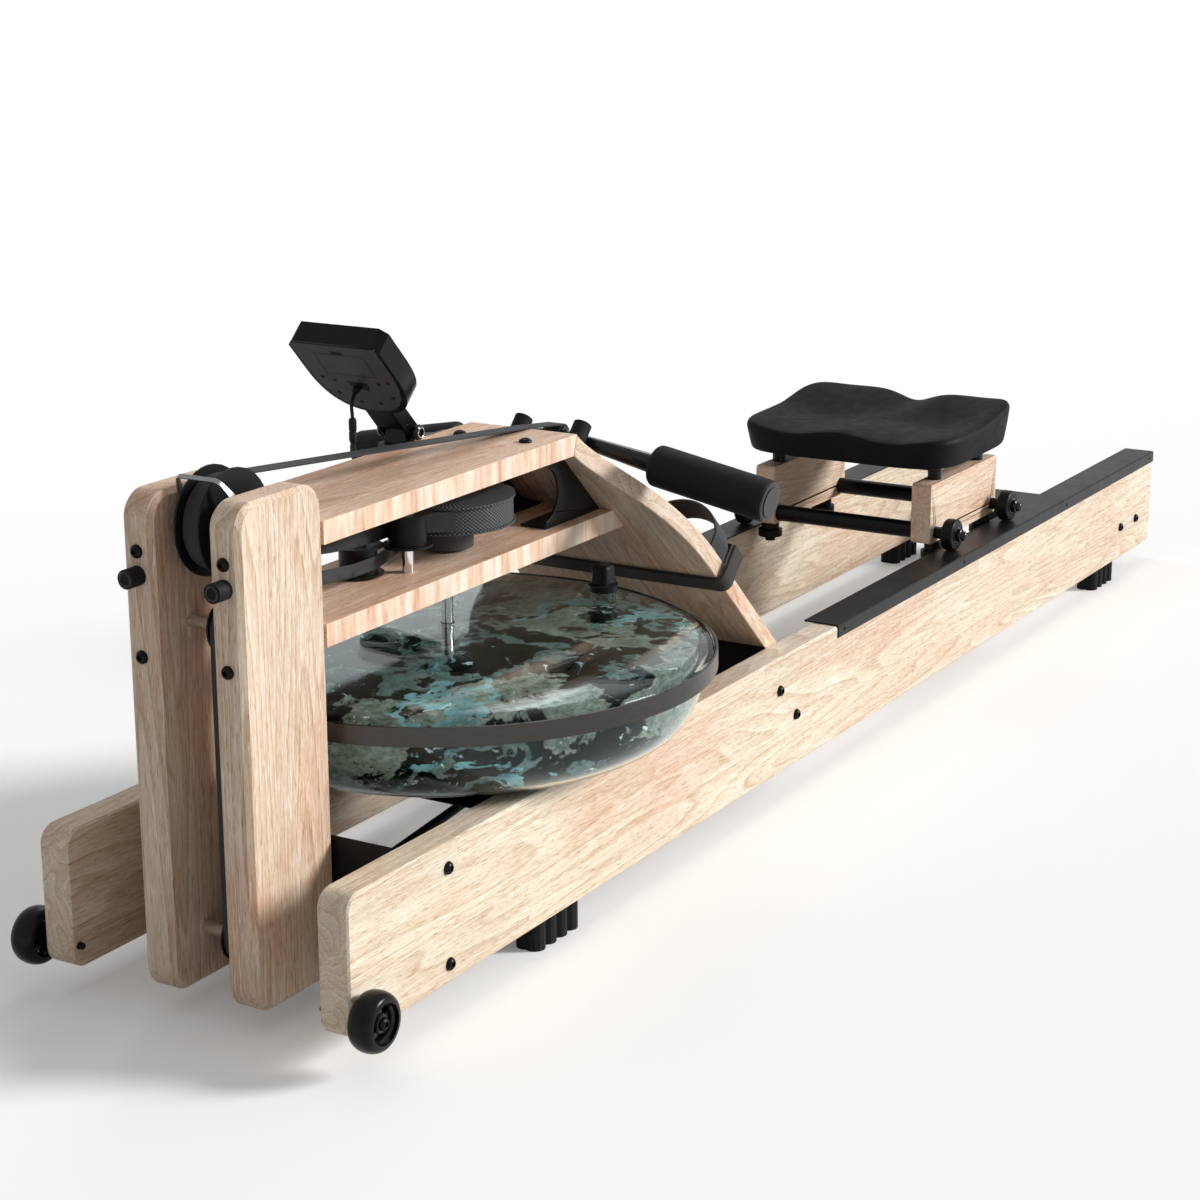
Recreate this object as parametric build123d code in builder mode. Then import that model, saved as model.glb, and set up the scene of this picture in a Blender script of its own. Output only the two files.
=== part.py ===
from build123d import *
import os
from math import acos, atan2, cos, hypot, pi, radians, sin

# Water-resistance rowing machine on two wooden beams.  Millimetres, +Z up, +X from the tank end
# towards the rower's end.  The origin is on the floor, on the mid-plane, half-way along the machine.
os.makedirs("parts", exist_ok=True)

# ---------------------------------------------------------------- driving dimensions: timber frame
beam_length = 2100.0
beam_height = 138.0
beam_thickness = 33.8
beam_inner_y = 142.5
beam_front_round = 18.0
beam_rear_round = 30.0
beam_edge_round = 2.0
foot_height = 29.4
foot_setbacks = (353.0, 1911.0)
foot_lobe_radius = 10.4
foot_lobe_pitch = 20.4
foot_lobe_spread = 10.0
foot_lobe_count = 4

upright_setback = 10.9
upright_width = 121.4
upright_inner_y = 30.8
upright_thickness = 34.7
upright_bottom_z = 24.2
upright_height = 473.5
upright_corner_round = 25.0
upright_edge_round = 5.0

deck_thickness = 22.1
upper_deck_top_z = 460.2
lower_deck_top_z = 364.1
ridge_setback = 572.3
footboard_angle = 42.8
footboard_length = 492.0
footboard_thickness = 21.0
flare_length = 231.0
flare_lead_in = 59.0
flare_lead_out = 147.0
board_clearance = 0.3

# ---------------------------------------------------------------- driving dimensions: steel work
rail_length = 1121.4
rail_thickness = 2.2
rail_flange_thickness = 1.5
rail_overhang = 10.2
rail_flange_drop = 14.1
steel_wall = 3.0
steel_clearance = 0.3
front_member_height = 129.0
front_member_depth = 44.0
front_member_top_z = 160.0
middle_member_start = 406.0
middle_member_length = 78.0
middle_member_depth = 66.0
rear_member_width = 112.0
rear_member_height = 30.0
rear_member_top_z = 92.0

bolt_head_radius = 6.4
bolt_head_height = 4.6
fastener_facets = 12
button_head_taper = 25.0
bolt_shank_radius = 4.0
bolt_hole_clearance = 0.15
front_bolt_setback = 155.4
front_bolt_heights = (142.8, 48.3)
middle_bolt_starts = (413.5, 471.5)
middle_bolt_depth = 47.7
rear_bolt_setbacks = (1965.6, 2032.8)
rear_bolt_z = 77.7
upright_bolt_heights = (445.0, 348.0)
upright_bolt_reach = 24.0

wheel_radius = 28.4
wheel_width = 26.0
wheel_setback = 9.5
wheel_axis_z = 52.5
wheel_rim_radius = 19.0
wheel_hub_radius = 9.5
wheel_spokes = 5
wheel_facets = 36
wheel_shoulder = 4.0
wheel_gap = 5.4
wheel_bolt_radius = 4.0
wheel_hub_recess = 4.0
wheel_play = 0.2
running_clearance = 0.06
fit_clearance = 0.1

# ---------------------------------------------------------------- driving dimensions: pulleys, straps
strap_width = 20.0
strap_thickness = 1.6
strap_gap = 0.3
front_pulley_setback = 71.5
front_pulley_z = 464.6
front_pulley_core = 41.0
front_pulley_flange = 50.5
front_pulley_width = 28.0
pulley_flange_thickness = 2.0
pulley_axle_radius = 5.0
axle_socket_depth = 14.0
keeper_strip_radius = 54.9
keeper_angle = 124.6
keeper_leg_y = 23.0
keeper_leg_thickness = 2.5
keeper_strip_width = 15.0
keeper_boss_radius = 17.0

idler_setback = 59.0
middle_pulley_z = 372.8
lower_pulley_z = 77.7
idler_core = 20.6
idler_flange = 24.5
idler_width = 18.0
idler_y = -15.0
recoil_width = 13.0
recoil_thickness = 1.6

spool_bottom_z = 366.6
small_spool_radius = 28.3
small_spool_height = 26.0
big_spool_radius = 68.8
big_spool_core = 24.0
spool_flange_radius = 71.0
spool_flange_thickness = 2.0
big_spool_height = 24.0
shaft_radius = 6.0
shaft_top_z = 434.0

guide_pillar_setback = 322.4
guide_pillar_y = -23.1
guide_pillar_radius = 6.0
guide_roller_radius = 19.0
guide_roller_bottom_z = 391.0
guide_roller_height = 33.0
guide_pin_radius = 4.5
guide_roller_flange_radius = 25.0
guide_roller_flange_thickness = 2.0
recoil_roller_setback = 287.7
recoil_roller_y = 11.0
recoil_roller_bottom_z = 366.2
recoil_roller_height = 29.0

# ---------------------------------------------------------------- driving dimensions: water tank
tank_front_gap = 14.7
tank_radius = 262.0
tank_floor_radius = 192.0
tank_wall = 4.0
tank_band_radius = 276.0
tank_band_thickness = 2.6
tank_band_bottom_z = 243.6
tank_band_height = 18.9
tank_dome_rise = 23.0
bowl_rise = 44.0
bowl_facets = 1
dome_facets = 2
dome_flat_radius = 90.0
tank_neck_radius = 13.2
tank_neck_bore = 9.5
tank_neck_top_z = 304.5
tank_neck_offset = (167.0, -86.0)
water_level_z = 226.0
cap_flange_radius = 16.0
cap_flange_height = 8.0
cap_grip_width = 18.5
cap_grip_height = 22.0
impeller_radius = 195.0
impeller_bottom_z = 184.0
impeller_height = 44.0
impeller_blades = 8
impeller_hub_radius = 26.0
impeller_clearance = 4.0
cradle_length = 316.0
cradle_top_z = 160.0
cradle_flange_drop = 34.0

# ---------------------------------------------------------------- driving dimensions: handle, foot rest
peg_radius = 10.0
peg_height = 38.0
peg_start = 45.7
peg_y = 36.8
handle_setback = 637.0
handle_z = 443.7
handle_droop = 10.3
handle_half_length = 258.0
handle_arm_root = 5.8
handle_arm_tip = 10.6
handle_hub_radius = 8.6
handle_grip_radius = 22.4
handle_grip_start = 121.5
arm_facets = 20
handle_grip_bore = 11.0
bumper_radius = 9.0
bumper_length = 17.0
bumper_z = 423.0

footrest_start = 258.0
footrest_bar_width = 25.0
footrest_bar_thickness = 4.0
footrest_arm_y = 147.0
footrest_arm_height = 22.0
heel_rest_width = 92.0
heel_rest_length = 108.0
heel_rest_y = 82.0
heel_rest_thickness = 5.0
heel_cup_height = 34.0
foot_strap_width = 38.0
foot_strap_thickness = 3.0
foot_strap_height = 62.0

# ---------------------------------------------------------------- driving dimensions: seat carriage
seat_setback = 1470.0
seat_wheelbase = 191.2
seat_roller_radius = 20.7
seat_roller_width = 16.0
seat_roller_y = 151.5
rolling_gap = 0.3
seat_axle_radius = 5.0
seat_tube_radius = 11.0
block_length = 223.0
block_thickness = 28.0
block_inner_y = 100.0
block_bottom_z = 177.0
block_height = 79.0
block_corner_round = 3.0
spacer_height = 18.0
seat_plate_thickness = 3.0
seat_plate_size = (206.0, 262.0)
seat_pad_length = 266.0
seat_pad_width = 312.0
seat_pad_height = 46.0
seat_pad_corner = 60.0
guide_roller_offset = 82.0
guide_roller_hub = 12.0
guide_roller_flange = 16.4
guide_roller_flange_z = 154.0
guide_flange_thickness = 9.0

# ---------------------------------------------------------------- driving dimensions: monitor
monitor_y = 79.0
monitor_width = 110.0
monitor_height = 114.0
monitor_thickness = 24.0
monitor_lean = 46.0
monitor_top_setback = 362.0
monitor_top_z = 593.0
monitor_corner = 8.0
screen_recess = 2.0
monitor_pivot_setback = 461.0
monitor_pivot_z = 469.7
bracket_width = 34.0
bracket_thickness = 3.0
bracket_ear_radius = 9.0
button_count = 3
button_radius = 5.0
button_pitch = 22.0
button_height = 2.0
button_clearance = 0.15
button_well = 4.0
button_travel = 1.4
screen_width = 84.0
screen_height = 56.0
screen_thickness = 1.5
pivot_bolt_radius = 4.0
arm_thickness = 4.0
arm_drop = 2.2
cable_radius = 1.8
connector_radius = 4.0
connector_length = 25.0

# ---------------------------------------------------------------- derived places
overall_length = beam_length + wheel_radius - wheel_setback
front_x = wheel_radius - wheel_setback - overall_length / 2
rear_x = front_x + beam_length
beam_outer_y = beam_inner_y + beam_thickness
beam_bottom_z = foot_height
beam_top_z = beam_bottom_z + beam_height
beam_mid_y = beam_inner_y + beam_thickness / 2
upright_front_x = front_x + upright_setback
upright_rear_x = upright_front_x + upright_width
upright_outer_y = upright_inner_y + upright_thickness
slope = radians(footboard_angle)
ridge_x = front_x + ridge_setback
board_plane = Plane(
    origin=(ridge_x, 0, upper_deck_top_z),
    x_dir=(cos(slope), 0, -sin(slope)),
    z_dir=(sin(slope), 0, cos(slope)),
)
miter_run = (deck_thickness - footboard_thickness * cos(slope)) / sin(slope)
miter_x = -footboard_thickness * sin(slope) + miter_run * cos(slope)
rail_inner_y = beam_inner_y - rail_overhang
rail_top_z = beam_top_z + rail_thickness
tank_x = upright_rear_x + tank_front_gap + tank_band_radius
seat_x = front_x + seat_setback


def on_board(start, y, height):
    """A point given by its distance down the footboard, its y and its height above the front face."""
    return board_plane.from_local_coords((start, y, height))


def side_plane(y):
    """An upright plane at this y, drawn in X and Z, whose normal is -Y."""
    return Plane.XZ.offset(-y)


def underside_x(z):
    """Where the footboard's underside meets this height."""
    start = (upper_deck_top_z - footboard_thickness * cos(slope) - z) / sin(slope)
    return ridge_x - footboard_thickness * sin(slope) + start * cos(slope)


def polar(centre, radius, angle):
    """The point at this radius and angle round the centre."""
    return (centre[0] + radius * cos(angle), centre[1] + radius * sin(angle))


def tangent_normals(circles):
    """For a strap that touches these circles in turn, the direction of each straight run's normal.

    Each circle is a centre and a radius, negative where the circle lies on the strap's right.
    """
    normals = []
    for (first, first_radius), (second, second_radius) in zip(circles, circles[1:]):
        away = atan2(second[1] - first[1], second[0] - first[0])
        reach = hypot(second[0] - first[0], second[1] - first[1])
        normals.append(away - acos((first_radius - second_radius) / reach))
    return normals


def strap_outline(circles, thickness):
    """Draws, inside a BuildLine, the edge of a strap of this thickness led round the circles."""
    normals = tangent_normals(circles)
    for shift in (-thickness / 2, thickness / 2):
        for normal, first, second in zip(normals, circles, circles[1:]):
            Line(polar(first[0], first[1] + shift, normal), polar(second[0], second[1] + shift, normal))
        for (centre, radius), arriving, leaving in zip(circles[1:], normals, normals[1:]):
            turn = (leaving - arriving) % (2 * pi) if radius > 0 else -((arriving - leaving) % (2 * pi))
            ThreePointArc(*[polar(centre, radius + shift, arriving + turn * part) for part in (0, 0.5, 1)])
    for (centre, radius), normal in ((circles[0], normals[0]), (circles[-1], normals[-1])):
        Line(polar(centre, radius - thickness / 2, normal), polar(centre, radius + thickness / 2, normal))


def twist_sections(flat_end, upright_end, width, thickness, steps):
    """Lofts, inside a BuildPart, a strap that turns a quarter turn about X between its two ends."""
    start, end = Vector(*flat_end), Vector(*upright_end)
    sections = []
    for step in range(steps + 1):
        share = step / steps
        turn = share * pi / 2
        middle = start + (end - start) * share
        with BuildSketch(Plane(origin=middle, x_dir=(0, cos(turn), sin(turn)), z_dir=(1, 0, 0))) as section:
            Rectangle(width, thickness)
        sections.append(section.sketch)
    loft(sections, ruled=True)


def save(part, name):
    """Labels a finished piece and writes it."""
    part.label = name
    export_step(part, f"parts/{name}.step")


# ---------------------------------------------------------------- beams
shank_hole = bolt_shank_radius + bolt_hole_clearance
bolt_places = [(front_x + front_bolt_setback, z) for z in front_bolt_heights]
for bolt_start in middle_bolt_starts:
    bolt_point = on_board(bolt_start, 0, -footboard_thickness - middle_bolt_depth)
    bolt_places.append((bolt_point.X, bolt_point.Z))
bolt_places += [(front_x + setback, rear_bolt_z) for setback in rear_bolt_setbacks]
wheel_place = (front_x + wheel_setback, wheel_axis_z)

with BuildPart() as left_beam:
    with BuildSketch(side_plane(-beam_inner_y)) as beam_outline:
        with Locations((front_x + beam_length / 2, beam_bottom_z + beam_height / 2)):
            Rectangle(beam_length, beam_height)
        front_corners = beam_outline.vertices().group_by(Axis.X)[0]
        rear_corners = beam_outline.vertices().group_by(Axis.X)[-1]
        fillet(front_corners, beam_front_round)
        fillet(rear_corners.sort_by(Axis.Z)[0], beam_rear_round)
    extrude(amount=beam_thickness)
    chamfer(left_beam.faces().filter_by(Axis.Y).edges(), beam_edge_round)
    with BuildSketch(side_plane(-beam_inner_y)):
        with Locations(*bolt_places, wheel_place):
            RegularPolygon(shank_hole, fastener_facets)
    extrude(amount=beam_thickness, mode=Mode.SUBTRACT)
save(left_beam.part, "left_beam")

with BuildPart() as right_beam:
    mirror(left_beam.part, about=Plane.XZ)
save(right_beam.part, "right_beam")

# ---------------------------------------------------------------- scalloped rubber feet
with BuildPart() as rubber_feet:
    with BuildSketch(Plane.XY):
        for setback in foot_setbacks:
            for side in (-1, 1):
                with Locations((front_x + setback, side * beam_mid_y)):
                    with GridLocations(foot_lobe_pitch, foot_lobe_spread, foot_lobe_count, 2):
                        RegularPolygon(foot_lobe_radius, fastener_facets)
                    Rectangle((foot_lobe_count - 1) * foot_lobe_pitch, foot_lobe_spread)
    extrude(amount=foot_height)
save(rubber_feet.part, "rubber_feet")

# ---------------------------------------------------------------- uprights
front_pulley_x = front_x + front_pulley_setback
idler_x = front_x + idler_setback
axle_places = (
    (front_pulley_x, front_pulley_z),
    (idler_x, middle_pulley_z),
    (idler_x, lower_pulley_z),
)
upright_mid_y = upright_inner_y + upright_thickness / 2

with BuildPart() as left_upright:
    with BuildSketch(side_plane(-upright_inner_y)):
        with Locations((upright_front_x + upright_width / 2, upright_bottom_z + upright_height / 2)):
            RectangleRounded(upright_width, upright_height, upright_corner_round)
    extrude(amount=upright_thickness)
    chamfer(left_upright.faces().filter_by(Axis.Y).edges(), upright_edge_round)
    with BuildSketch(side_plane(-upright_inner_y)):
        with Locations(*axle_places):
            Circle(pulley_axle_radius + fit_clearance)
    extrude(amount=axle_socket_depth, mode=Mode.SUBTRACT)
    with BuildSketch(Plane.YZ.offset(upright_front_x)):
        for bolt_z in upright_bolt_heights:
            with Locations((-upright_mid_y, bolt_z)):
                RegularPolygon(shank_hole, fastener_facets)
    extrude(amount=upright_width, mode=Mode.SUBTRACT)
save(left_upright.part, "left_upright")

with BuildPart() as right_upright:
    mirror(left_upright.part, about=Plane.XZ)
save(right_upright.part, "right_upright")

with BuildPart() as bumper_pegs:
    with BuildSketch(Plane.YZ.offset(upright_front_x)):
        with Locations((-upright_mid_y, bumper_z), (upright_mid_y, bumper_z)):
            Circle(bumper_radius)
    extrude(amount=-bumper_length)
save(bumper_pegs.part, "bumper_pegs")

# ---------------------------------------------------------------- decks and footboard
with BuildPart() as upper_deck:
    with BuildSketch(Plane.XZ):
        with BuildLine():
            Polyline(
                (upright_rear_x, upper_deck_top_z),
                (ridge_x, upper_deck_top_z),
                (ridge_x + miter_x, upper_deck_top_z - deck_thickness),
                (upright_rear_x, upper_deck_top_z - deck_thickness),
                close=True,
            )
        make_face()
    extrude(amount=upright_outer_y, both=True)
    with BuildSketch(Plane.YZ.offset(upright_rear_x)):
        with Locations((-upright_mid_y, upright_bolt_heights[0]), (upright_mid_y, upright_bolt_heights[0])):
            RegularPolygon(shank_hole, fastener_facets)
    extrude(amount=upright_bolt_reach, mode=Mode.SUBTRACT)
save(upper_deck.part, "upper_deck")

lower_deck_bottom_z = lower_deck_top_z - deck_thickness
pillar_place = (front_x + guide_pillar_setback, guide_pillar_y)
recoil_roller_place = (front_x + recoil_roller_setback, recoil_roller_y)
bearing_radius = shaft_radius * 2.2
with BuildPart() as lower_deck:
    with BuildSketch(Plane.XZ):
        with BuildLine():
            Polyline(
                (upright_rear_x, lower_deck_top_z),
                (underside_x(lower_deck_top_z), lower_deck_top_z),
                (underside_x(lower_deck_bottom_z), lower_deck_bottom_z),
                (upright_rear_x, lower_deck_bottom_z),
                close=True,
            )
        make_face()
    extrude(amount=upright_outer_y, both=True)
    with BuildSketch(Plane.YZ.offset(upright_rear_x)):
        with Locations((-upright_mid_y, upright_bolt_heights[1]), (upright_mid_y, upright_bolt_heights[1])):
            RegularPolygon(shank_hole, fastener_facets)
    extrude(amount=upright_bolt_reach, mode=Mode.SUBTRACT)
    with BuildSketch(Plane.XY.offset(lower_deck_bottom_z)):
        with Locations((tank_x, 0)):
            Circle(bearing_radius + fit_clearance)
    extrude(amount=deck_thickness, mode=Mode.SUBTRACT)
save(lower_deck.part, "lower_deck")

board_half_width = beam_inner_y - board_clearance
miter_plane = Plane(
    origin=(ridge_x, 0, upper_deck_top_z),
    x_dir=(0, 1, 0),
    z_dir=(deck_thickness, 0, miter_x),
)
with BuildPart() as footboard:
    with BuildSketch(board_plane):
        with BuildLine() as board_edge:
            Polyline((-deck_thickness, 0), (-deck_thickness, upright_outer_y), (0, upright_outer_y))
            Bezier(
                (0, upright_outer_y),
                (flare_lead_in, upright_outer_y),
                (flare_length - flare_lead_out, board_half_width),
                (flare_length, board_half_width),
            )
            Polyline(
                (flare_length, board_half_width),
                (footboard_length, board_half_width),
                (footboard_length, 0),
            )
            mirror(board_edge.line, about=Plane.XZ)
        make_face()
    extrude(amount=-footboard_thickness)
    split(bisect_by=miter_plane, keep=Keep.TOP)
save(footboard.part, "footboard")

# ---------------------------------------------------------------- steel rails on the beams
flange_outer_y = beam_outer_y + rail_flange_thickness
rail_bottom_z = rail_top_z - rail_thickness - rail_flange_drop
with BuildPart() as seat_rails:
    with BuildSketch(Plane.YZ.offset(rear_x)) as rail_section:
        with BuildLine():
            Polyline(
                (-rail_inner_y, rail_top_z),
                (-flange_outer_y, rail_top_z),
                (-flange_outer_y, rail_bottom_z),
                (-beam_outer_y, rail_bottom_z),
                (-beam_outer_y, beam_top_z),
                (-rail_inner_y, beam_top_z),
                close=True,
            )
        make_face()
        fillet(rail_section.vertices().sort_by_distance((-flange_outer_y, rail_top_z))[0], rail_thickness)
    extrude(amount=-rail_length)
    mirror(about=Plane.XZ)
save(seat_rails.part, "seat_rails")

# ---------------------------------------------------------------- cross members
member_half = beam_inner_y - steel_clearance
strap_window = recoil_width + 14.0
with BuildPart() as front_cross_member:
    with BuildSketch(Plane.XY.offset(front_member_top_z)):
        with Locations((upright_rear_x + front_member_depth / 2, 0)):
            Rectangle(front_member_depth, 2 * member_half)
        with Locations((upright_rear_x + steel_wall + front_member_depth / 2, 0)):
            Rectangle(front_member_depth, 2 * (member_half - steel_wall), mode=Mode.SUBTRACT)
    extrude(amount=-front_member_height)
    with BuildSketch(side_plane(-beam_inner_y)):
        with Locations(*bolt_places[:2]):
            RegularPolygon(shank_hole, fastener_facets)
    extrude(amount=-2 * beam_inner_y, mode=Mode.SUBTRACT)
    with BuildSketch(Plane.YZ.offset(upright_rear_x)):
        with Locations((idler_y, lower_pulley_z - idler_core + 5.0)):
            RectangleRounded(strap_window, strap_window, 4)
    extrude(amount=steel_wall, mode=Mode.SUBTRACT)
save(front_cross_member.part, "front_cross_member")

# a channel along the footboard's lower end: its web is the seat, its flanges reach away from the board
seat_depth = -footboard_thickness
with BuildPart() as middle_cross_member:
    with BuildSketch(side_plane(-member_half)):
        with BuildLine():
            corner_places = (
                on_board(middle_member_start, 0, seat_depth),
                on_board(middle_member_start + middle_member_length, 0, seat_depth),
                on_board(middle_member_start + middle_member_length, 0, seat_depth - middle_member_depth),
                on_board(middle_member_start, 0, seat_depth - middle_member_depth),
            )
            Polyline(*[(corner.X, corner.Z) for corner in corner_places], close=True)
        make_face()
    extrude(amount=-2 * member_half)
    channel_plane = board_plane.offset(seat_depth - steel_wall)
    with BuildSketch(channel_plane):
        with Locations((middle_member_start + middle_member_length / 2, 0)):
            Rectangle(middle_member_length - 2 * steel_wall, 2 * (member_half - steel_wall))
    extrude(amount=-middle_member_depth, mode=Mode.SUBTRACT)
    with BuildSketch(side_plane(-beam_inner_y)):
        with Locations(*bolt_places[2:4]):
            RegularPolygon(shank_hole, fastener_facets)
    extrude(amount=-2 * beam_inner_y, mode=Mode.SUBTRACT)
save(middle_cross_member.part, "middle_cross_member")

with BuildPart() as rear_cross_member:
    rear_member_x = front_x + sum(rear_bolt_setbacks) / 2
    with BuildSketch(Plane.XY.offset(rear_member_top_z)):
        with Locations((rear_member_x, 0)):
            Rectangle(rear_member_width, 2 * member_half)
    extrude(amount=-rear_member_height)
    with BuildSketch(Plane.XY.offset(rear_member_top_z - steel_wall)):
        with Locations((rear_member_x, 0)):
            Rectangle(rear_member_width - 2 * steel_wall, 2 * (member_half - steel_wall))
    extrude(amount=-rear_member_height, mode=Mode.SUBTRACT)
    with BuildSketch(side_plane(-beam_inner_y)):
        with Locations(*bolt_places[4:]):
            RegularPolygon(shank_hole, fastener_facets)
    extrude(amount=-2 * beam_inner_y, mode=Mode.SUBTRACT)
save(rear_cross_member.part, "rear_cross_member")

# ---------------------------------------------------------------- transport wheels
wheel_inner_y = beam_outer_y + wheel_gap
wheel_plane = Plane(origin=(wheel_place[0], 0, wheel_place[1]), x_dir=(1, 0, 0), z_dir=(0, -1, 0))
wheel_outer_y = wheel_inner_y + wheel_width
with BuildPart() as left_transport_wheel:
    # the tyre, a ring with its shoulders cut back
    with BuildSketch(wheel_plane.offset(wheel_inner_y)):
        RegularPolygon(wheel_radius, wheel_facets)
    extrude(amount=wheel_width)
    chamfer(left_transport_wheel.faces().filter_by(Axis.Y).edges(), wheel_shoulder)
    # open the wheel between its rim and its hub, and step the hub's face back
    with BuildSketch(wheel_plane.offset(wheel_inner_y)):
        RegularPolygon(wheel_rim_radius - 3.5, wheel_facets)
        RegularPolygon(wheel_hub_radius, fastener_facets, mode=Mode.SUBTRACT)
        with PolarLocations((wheel_rim_radius + wheel_hub_radius) / 2 - 1.5, wheel_spokes):
            Rectangle(wheel_rim_radius - wheel_hub_radius, 5.0, mode=Mode.SUBTRACT)
    extrude(amount=wheel_width, mode=Mode.SUBTRACT)
    with BuildSketch(wheel_plane.offset(wheel_outer_y - wheel_hub_recess)):
        RegularPolygon(wheel_rim_radius - 3.5, wheel_facets)
    extrude(amount=wheel_hub_recess, mode=Mode.SUBTRACT)
    with BuildSketch(wheel_plane.offset(wheel_inner_y)):
        Circle(wheel_bolt_radius + running_clearance)
    extrude(amount=wheel_width, mode=Mode.SUBTRACT)
save(left_transport_wheel.part, "left_transport_wheel")

with BuildPart() as right_transport_wheel:
    mirror(left_transport_wheel.part, about=Plane.XZ)
save(right_transport_wheel.part, "right_transport_wheel")

# ---------------------------------------------------------------- bolts and screws of the frame
upright_bolt_places = [(side * upright_mid_y, z) for side in (-1, 1) for z in upright_bolt_heights]
with BuildPart() as frame_bolts:
    # button heads on the beams' outer faces
    with BuildSketch(side_plane(-beam_outer_y)):
        with Locations(*bolt_places):
            RegularPolygon(bolt_head_radius, fastener_facets)
    extrude(amount=bolt_head_height, taper=button_head_taper)
    with BuildSketch(side_plane(-beam_outer_y)):
        with Locations(*bolt_places):
            RegularPolygon(bolt_shank_radius, fastener_facets)
    extrude(amount=-beam_thickness - 2 * steel_wall)
    # the wheel bolts, with a nut inside the beam, a collar, and a low head outside the wheel
    for start_y, radius, length in (
        (beam_inner_y - bolt_head_height, bolt_head_radius, bolt_head_height),
        (beam_inner_y, wheel_bolt_radius, beam_thickness + wheel_gap + wheel_width),
        (beam_outer_y, wheel_bolt_radius + 3.0, wheel_gap - wheel_play),
        (wheel_outer_y - wheel_hub_recess + wheel_play, wheel_bolt_radius + 2.5, wheel_hub_recess),
    ):
        with BuildSketch(wheel_plane.offset(start_y)):
            RegularPolygon(radius, fastener_facets)
        extrude(amount=length)
    # the bolts through the uprights into the decks
    with BuildSketch(Plane.YZ.offset(upright_front_x)):
        with Locations(*upright_bolt_places[:2]):
            RegularPolygon(bolt_head_radius, fastener_facets)
    extrude(amount=-bolt_head_height, taper=button_head_taper)
    with BuildSketch(Plane.YZ.offset(upright_front_x)):
        with Locations(*upright_bolt_places[:2]):
            RegularPolygon(bolt_shank_radius, fastener_facets)
    extrude(amount=upright_width + upright_bolt_reach - bolt_hole_clearance)
    mirror(about=Plane.XZ)
save(frame_bolts.part, "frame_bolts")

# ---------------------------------------------------------------- pulleys and their axles
axle_half = upright_inner_y + axle_socket_depth - fit_clearance
with BuildPart() as pulley_axles:
    with BuildSketch(side_plane(axle_half)):
        with Locations(*axle_places):
            Circle(pulley_axle_radius)
    extrude(amount=2 * axle_half)
    # collars hold the two idlers at their place on the axles
    idler_end_y = idler_y + idler_width / 2 + fit_clearance
    idler_start_y = idler_y - idler_width / 2 - fit_clearance
    for collar_y, collar_length in (
        (idler_end_y, upright_inner_y - idler_end_y),
        (-upright_inner_y, upright_inner_y + idler_start_y),
    ):
        with BuildSketch(side_plane(collar_y)):
            with Locations(*axle_places[1:]):
                Circle(pulley_axle_radius + 2.0)
        extrude(amount=-collar_length)
save(pulley_axles.part, "pulley_axles")


def pulley(place, mid_y, width, core_radius, flange_radius):
    """A flanged pulley on a Y axis with a running bore and, between its flanges, a bed for the strap."""
    with BuildPart() as made:
        with BuildSketch(side_plane(mid_y)):
            with Locations(place):
                RegularPolygon(core_radius, wheel_facets)
        extrude(amount=width / 2, both=True)
        for side in (-1, 1):
            with BuildSketch(side_plane(mid_y + side * width / 2)):
                with Locations(place):
                    RegularPolygon(flange_radius, wheel_facets)
            extrude(amount=side * pulley_flange_thickness)
        with BuildSketch(side_plane(mid_y + width / 2)):
            with Locations(place):
                Circle(pulley_axle_radius + running_clearance)
        extrude(amount=width, mode=Mode.SUBTRACT)
    return made.part


save(
    pulley(axle_places[0], 0, front_pulley_width, front_pulley_core, front_pulley_flange),
    "front_pulley",
)
save(pulley(axle_places[1], idler_y, idler_width, idler_core, idler_flange), "middle_pulley")
save(pulley(axle_places[2], idler_y, idler_width, idler_core, idler_flange), "lower_pulley")

keeper_plane = Plane(
    origin=(front_pulley_x, 0, front_pulley_z),
    x_dir=(cos(radians(keeper_angle)), 0, sin(radians(keeper_angle))),
    z_dir=(0, -1, 0),
)
with BuildPart() as strap_keeper:
    with BuildSketch(keeper_plane.offset(keeper_leg_y)):
        with BuildLine():
            strip_edge = keeper_strip_width / 2
            boss_edge = keeper_boss_radius * 0.98
            Polyline(
                (0, -boss_edge),
                (keeper_strip_radius, -strip_edge),
                (keeper_strip_radius, strip_edge),
                (0, boss_edge),
                close=True,
            )
        make_face()
        Circle(keeper_boss_radius)
        Circle(pulley_axle_radius + fit_clearance, mode=Mode.SUBTRACT)
    extrude(amount=keeper_leg_thickness)
    with BuildSketch(keeper_plane.offset(keeper_leg_y + keeper_leg_thickness)):
        Circle(pulley_axle_radius + 4.0)
        Circle(pulley_axle_radius + fit_clearance, mode=Mode.SUBTRACT)
    extrude(amount=upright_inner_y - keeper_leg_y - keeper_leg_thickness)
    mirror(about=Plane.XZ)
    with BuildSketch(keeper_plane.offset(-keeper_leg_y - keeper_leg_thickness)):
        with Locations((keeper_strip_radius + keeper_leg_thickness / 2, 0)):
            Rectangle(keeper_leg_thickness, keeper_strip_width)
    extrude(amount=2 * (keeper_leg_y + keeper_leg_thickness))
save(strap_keeper.part, "strap_keeper")

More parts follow.
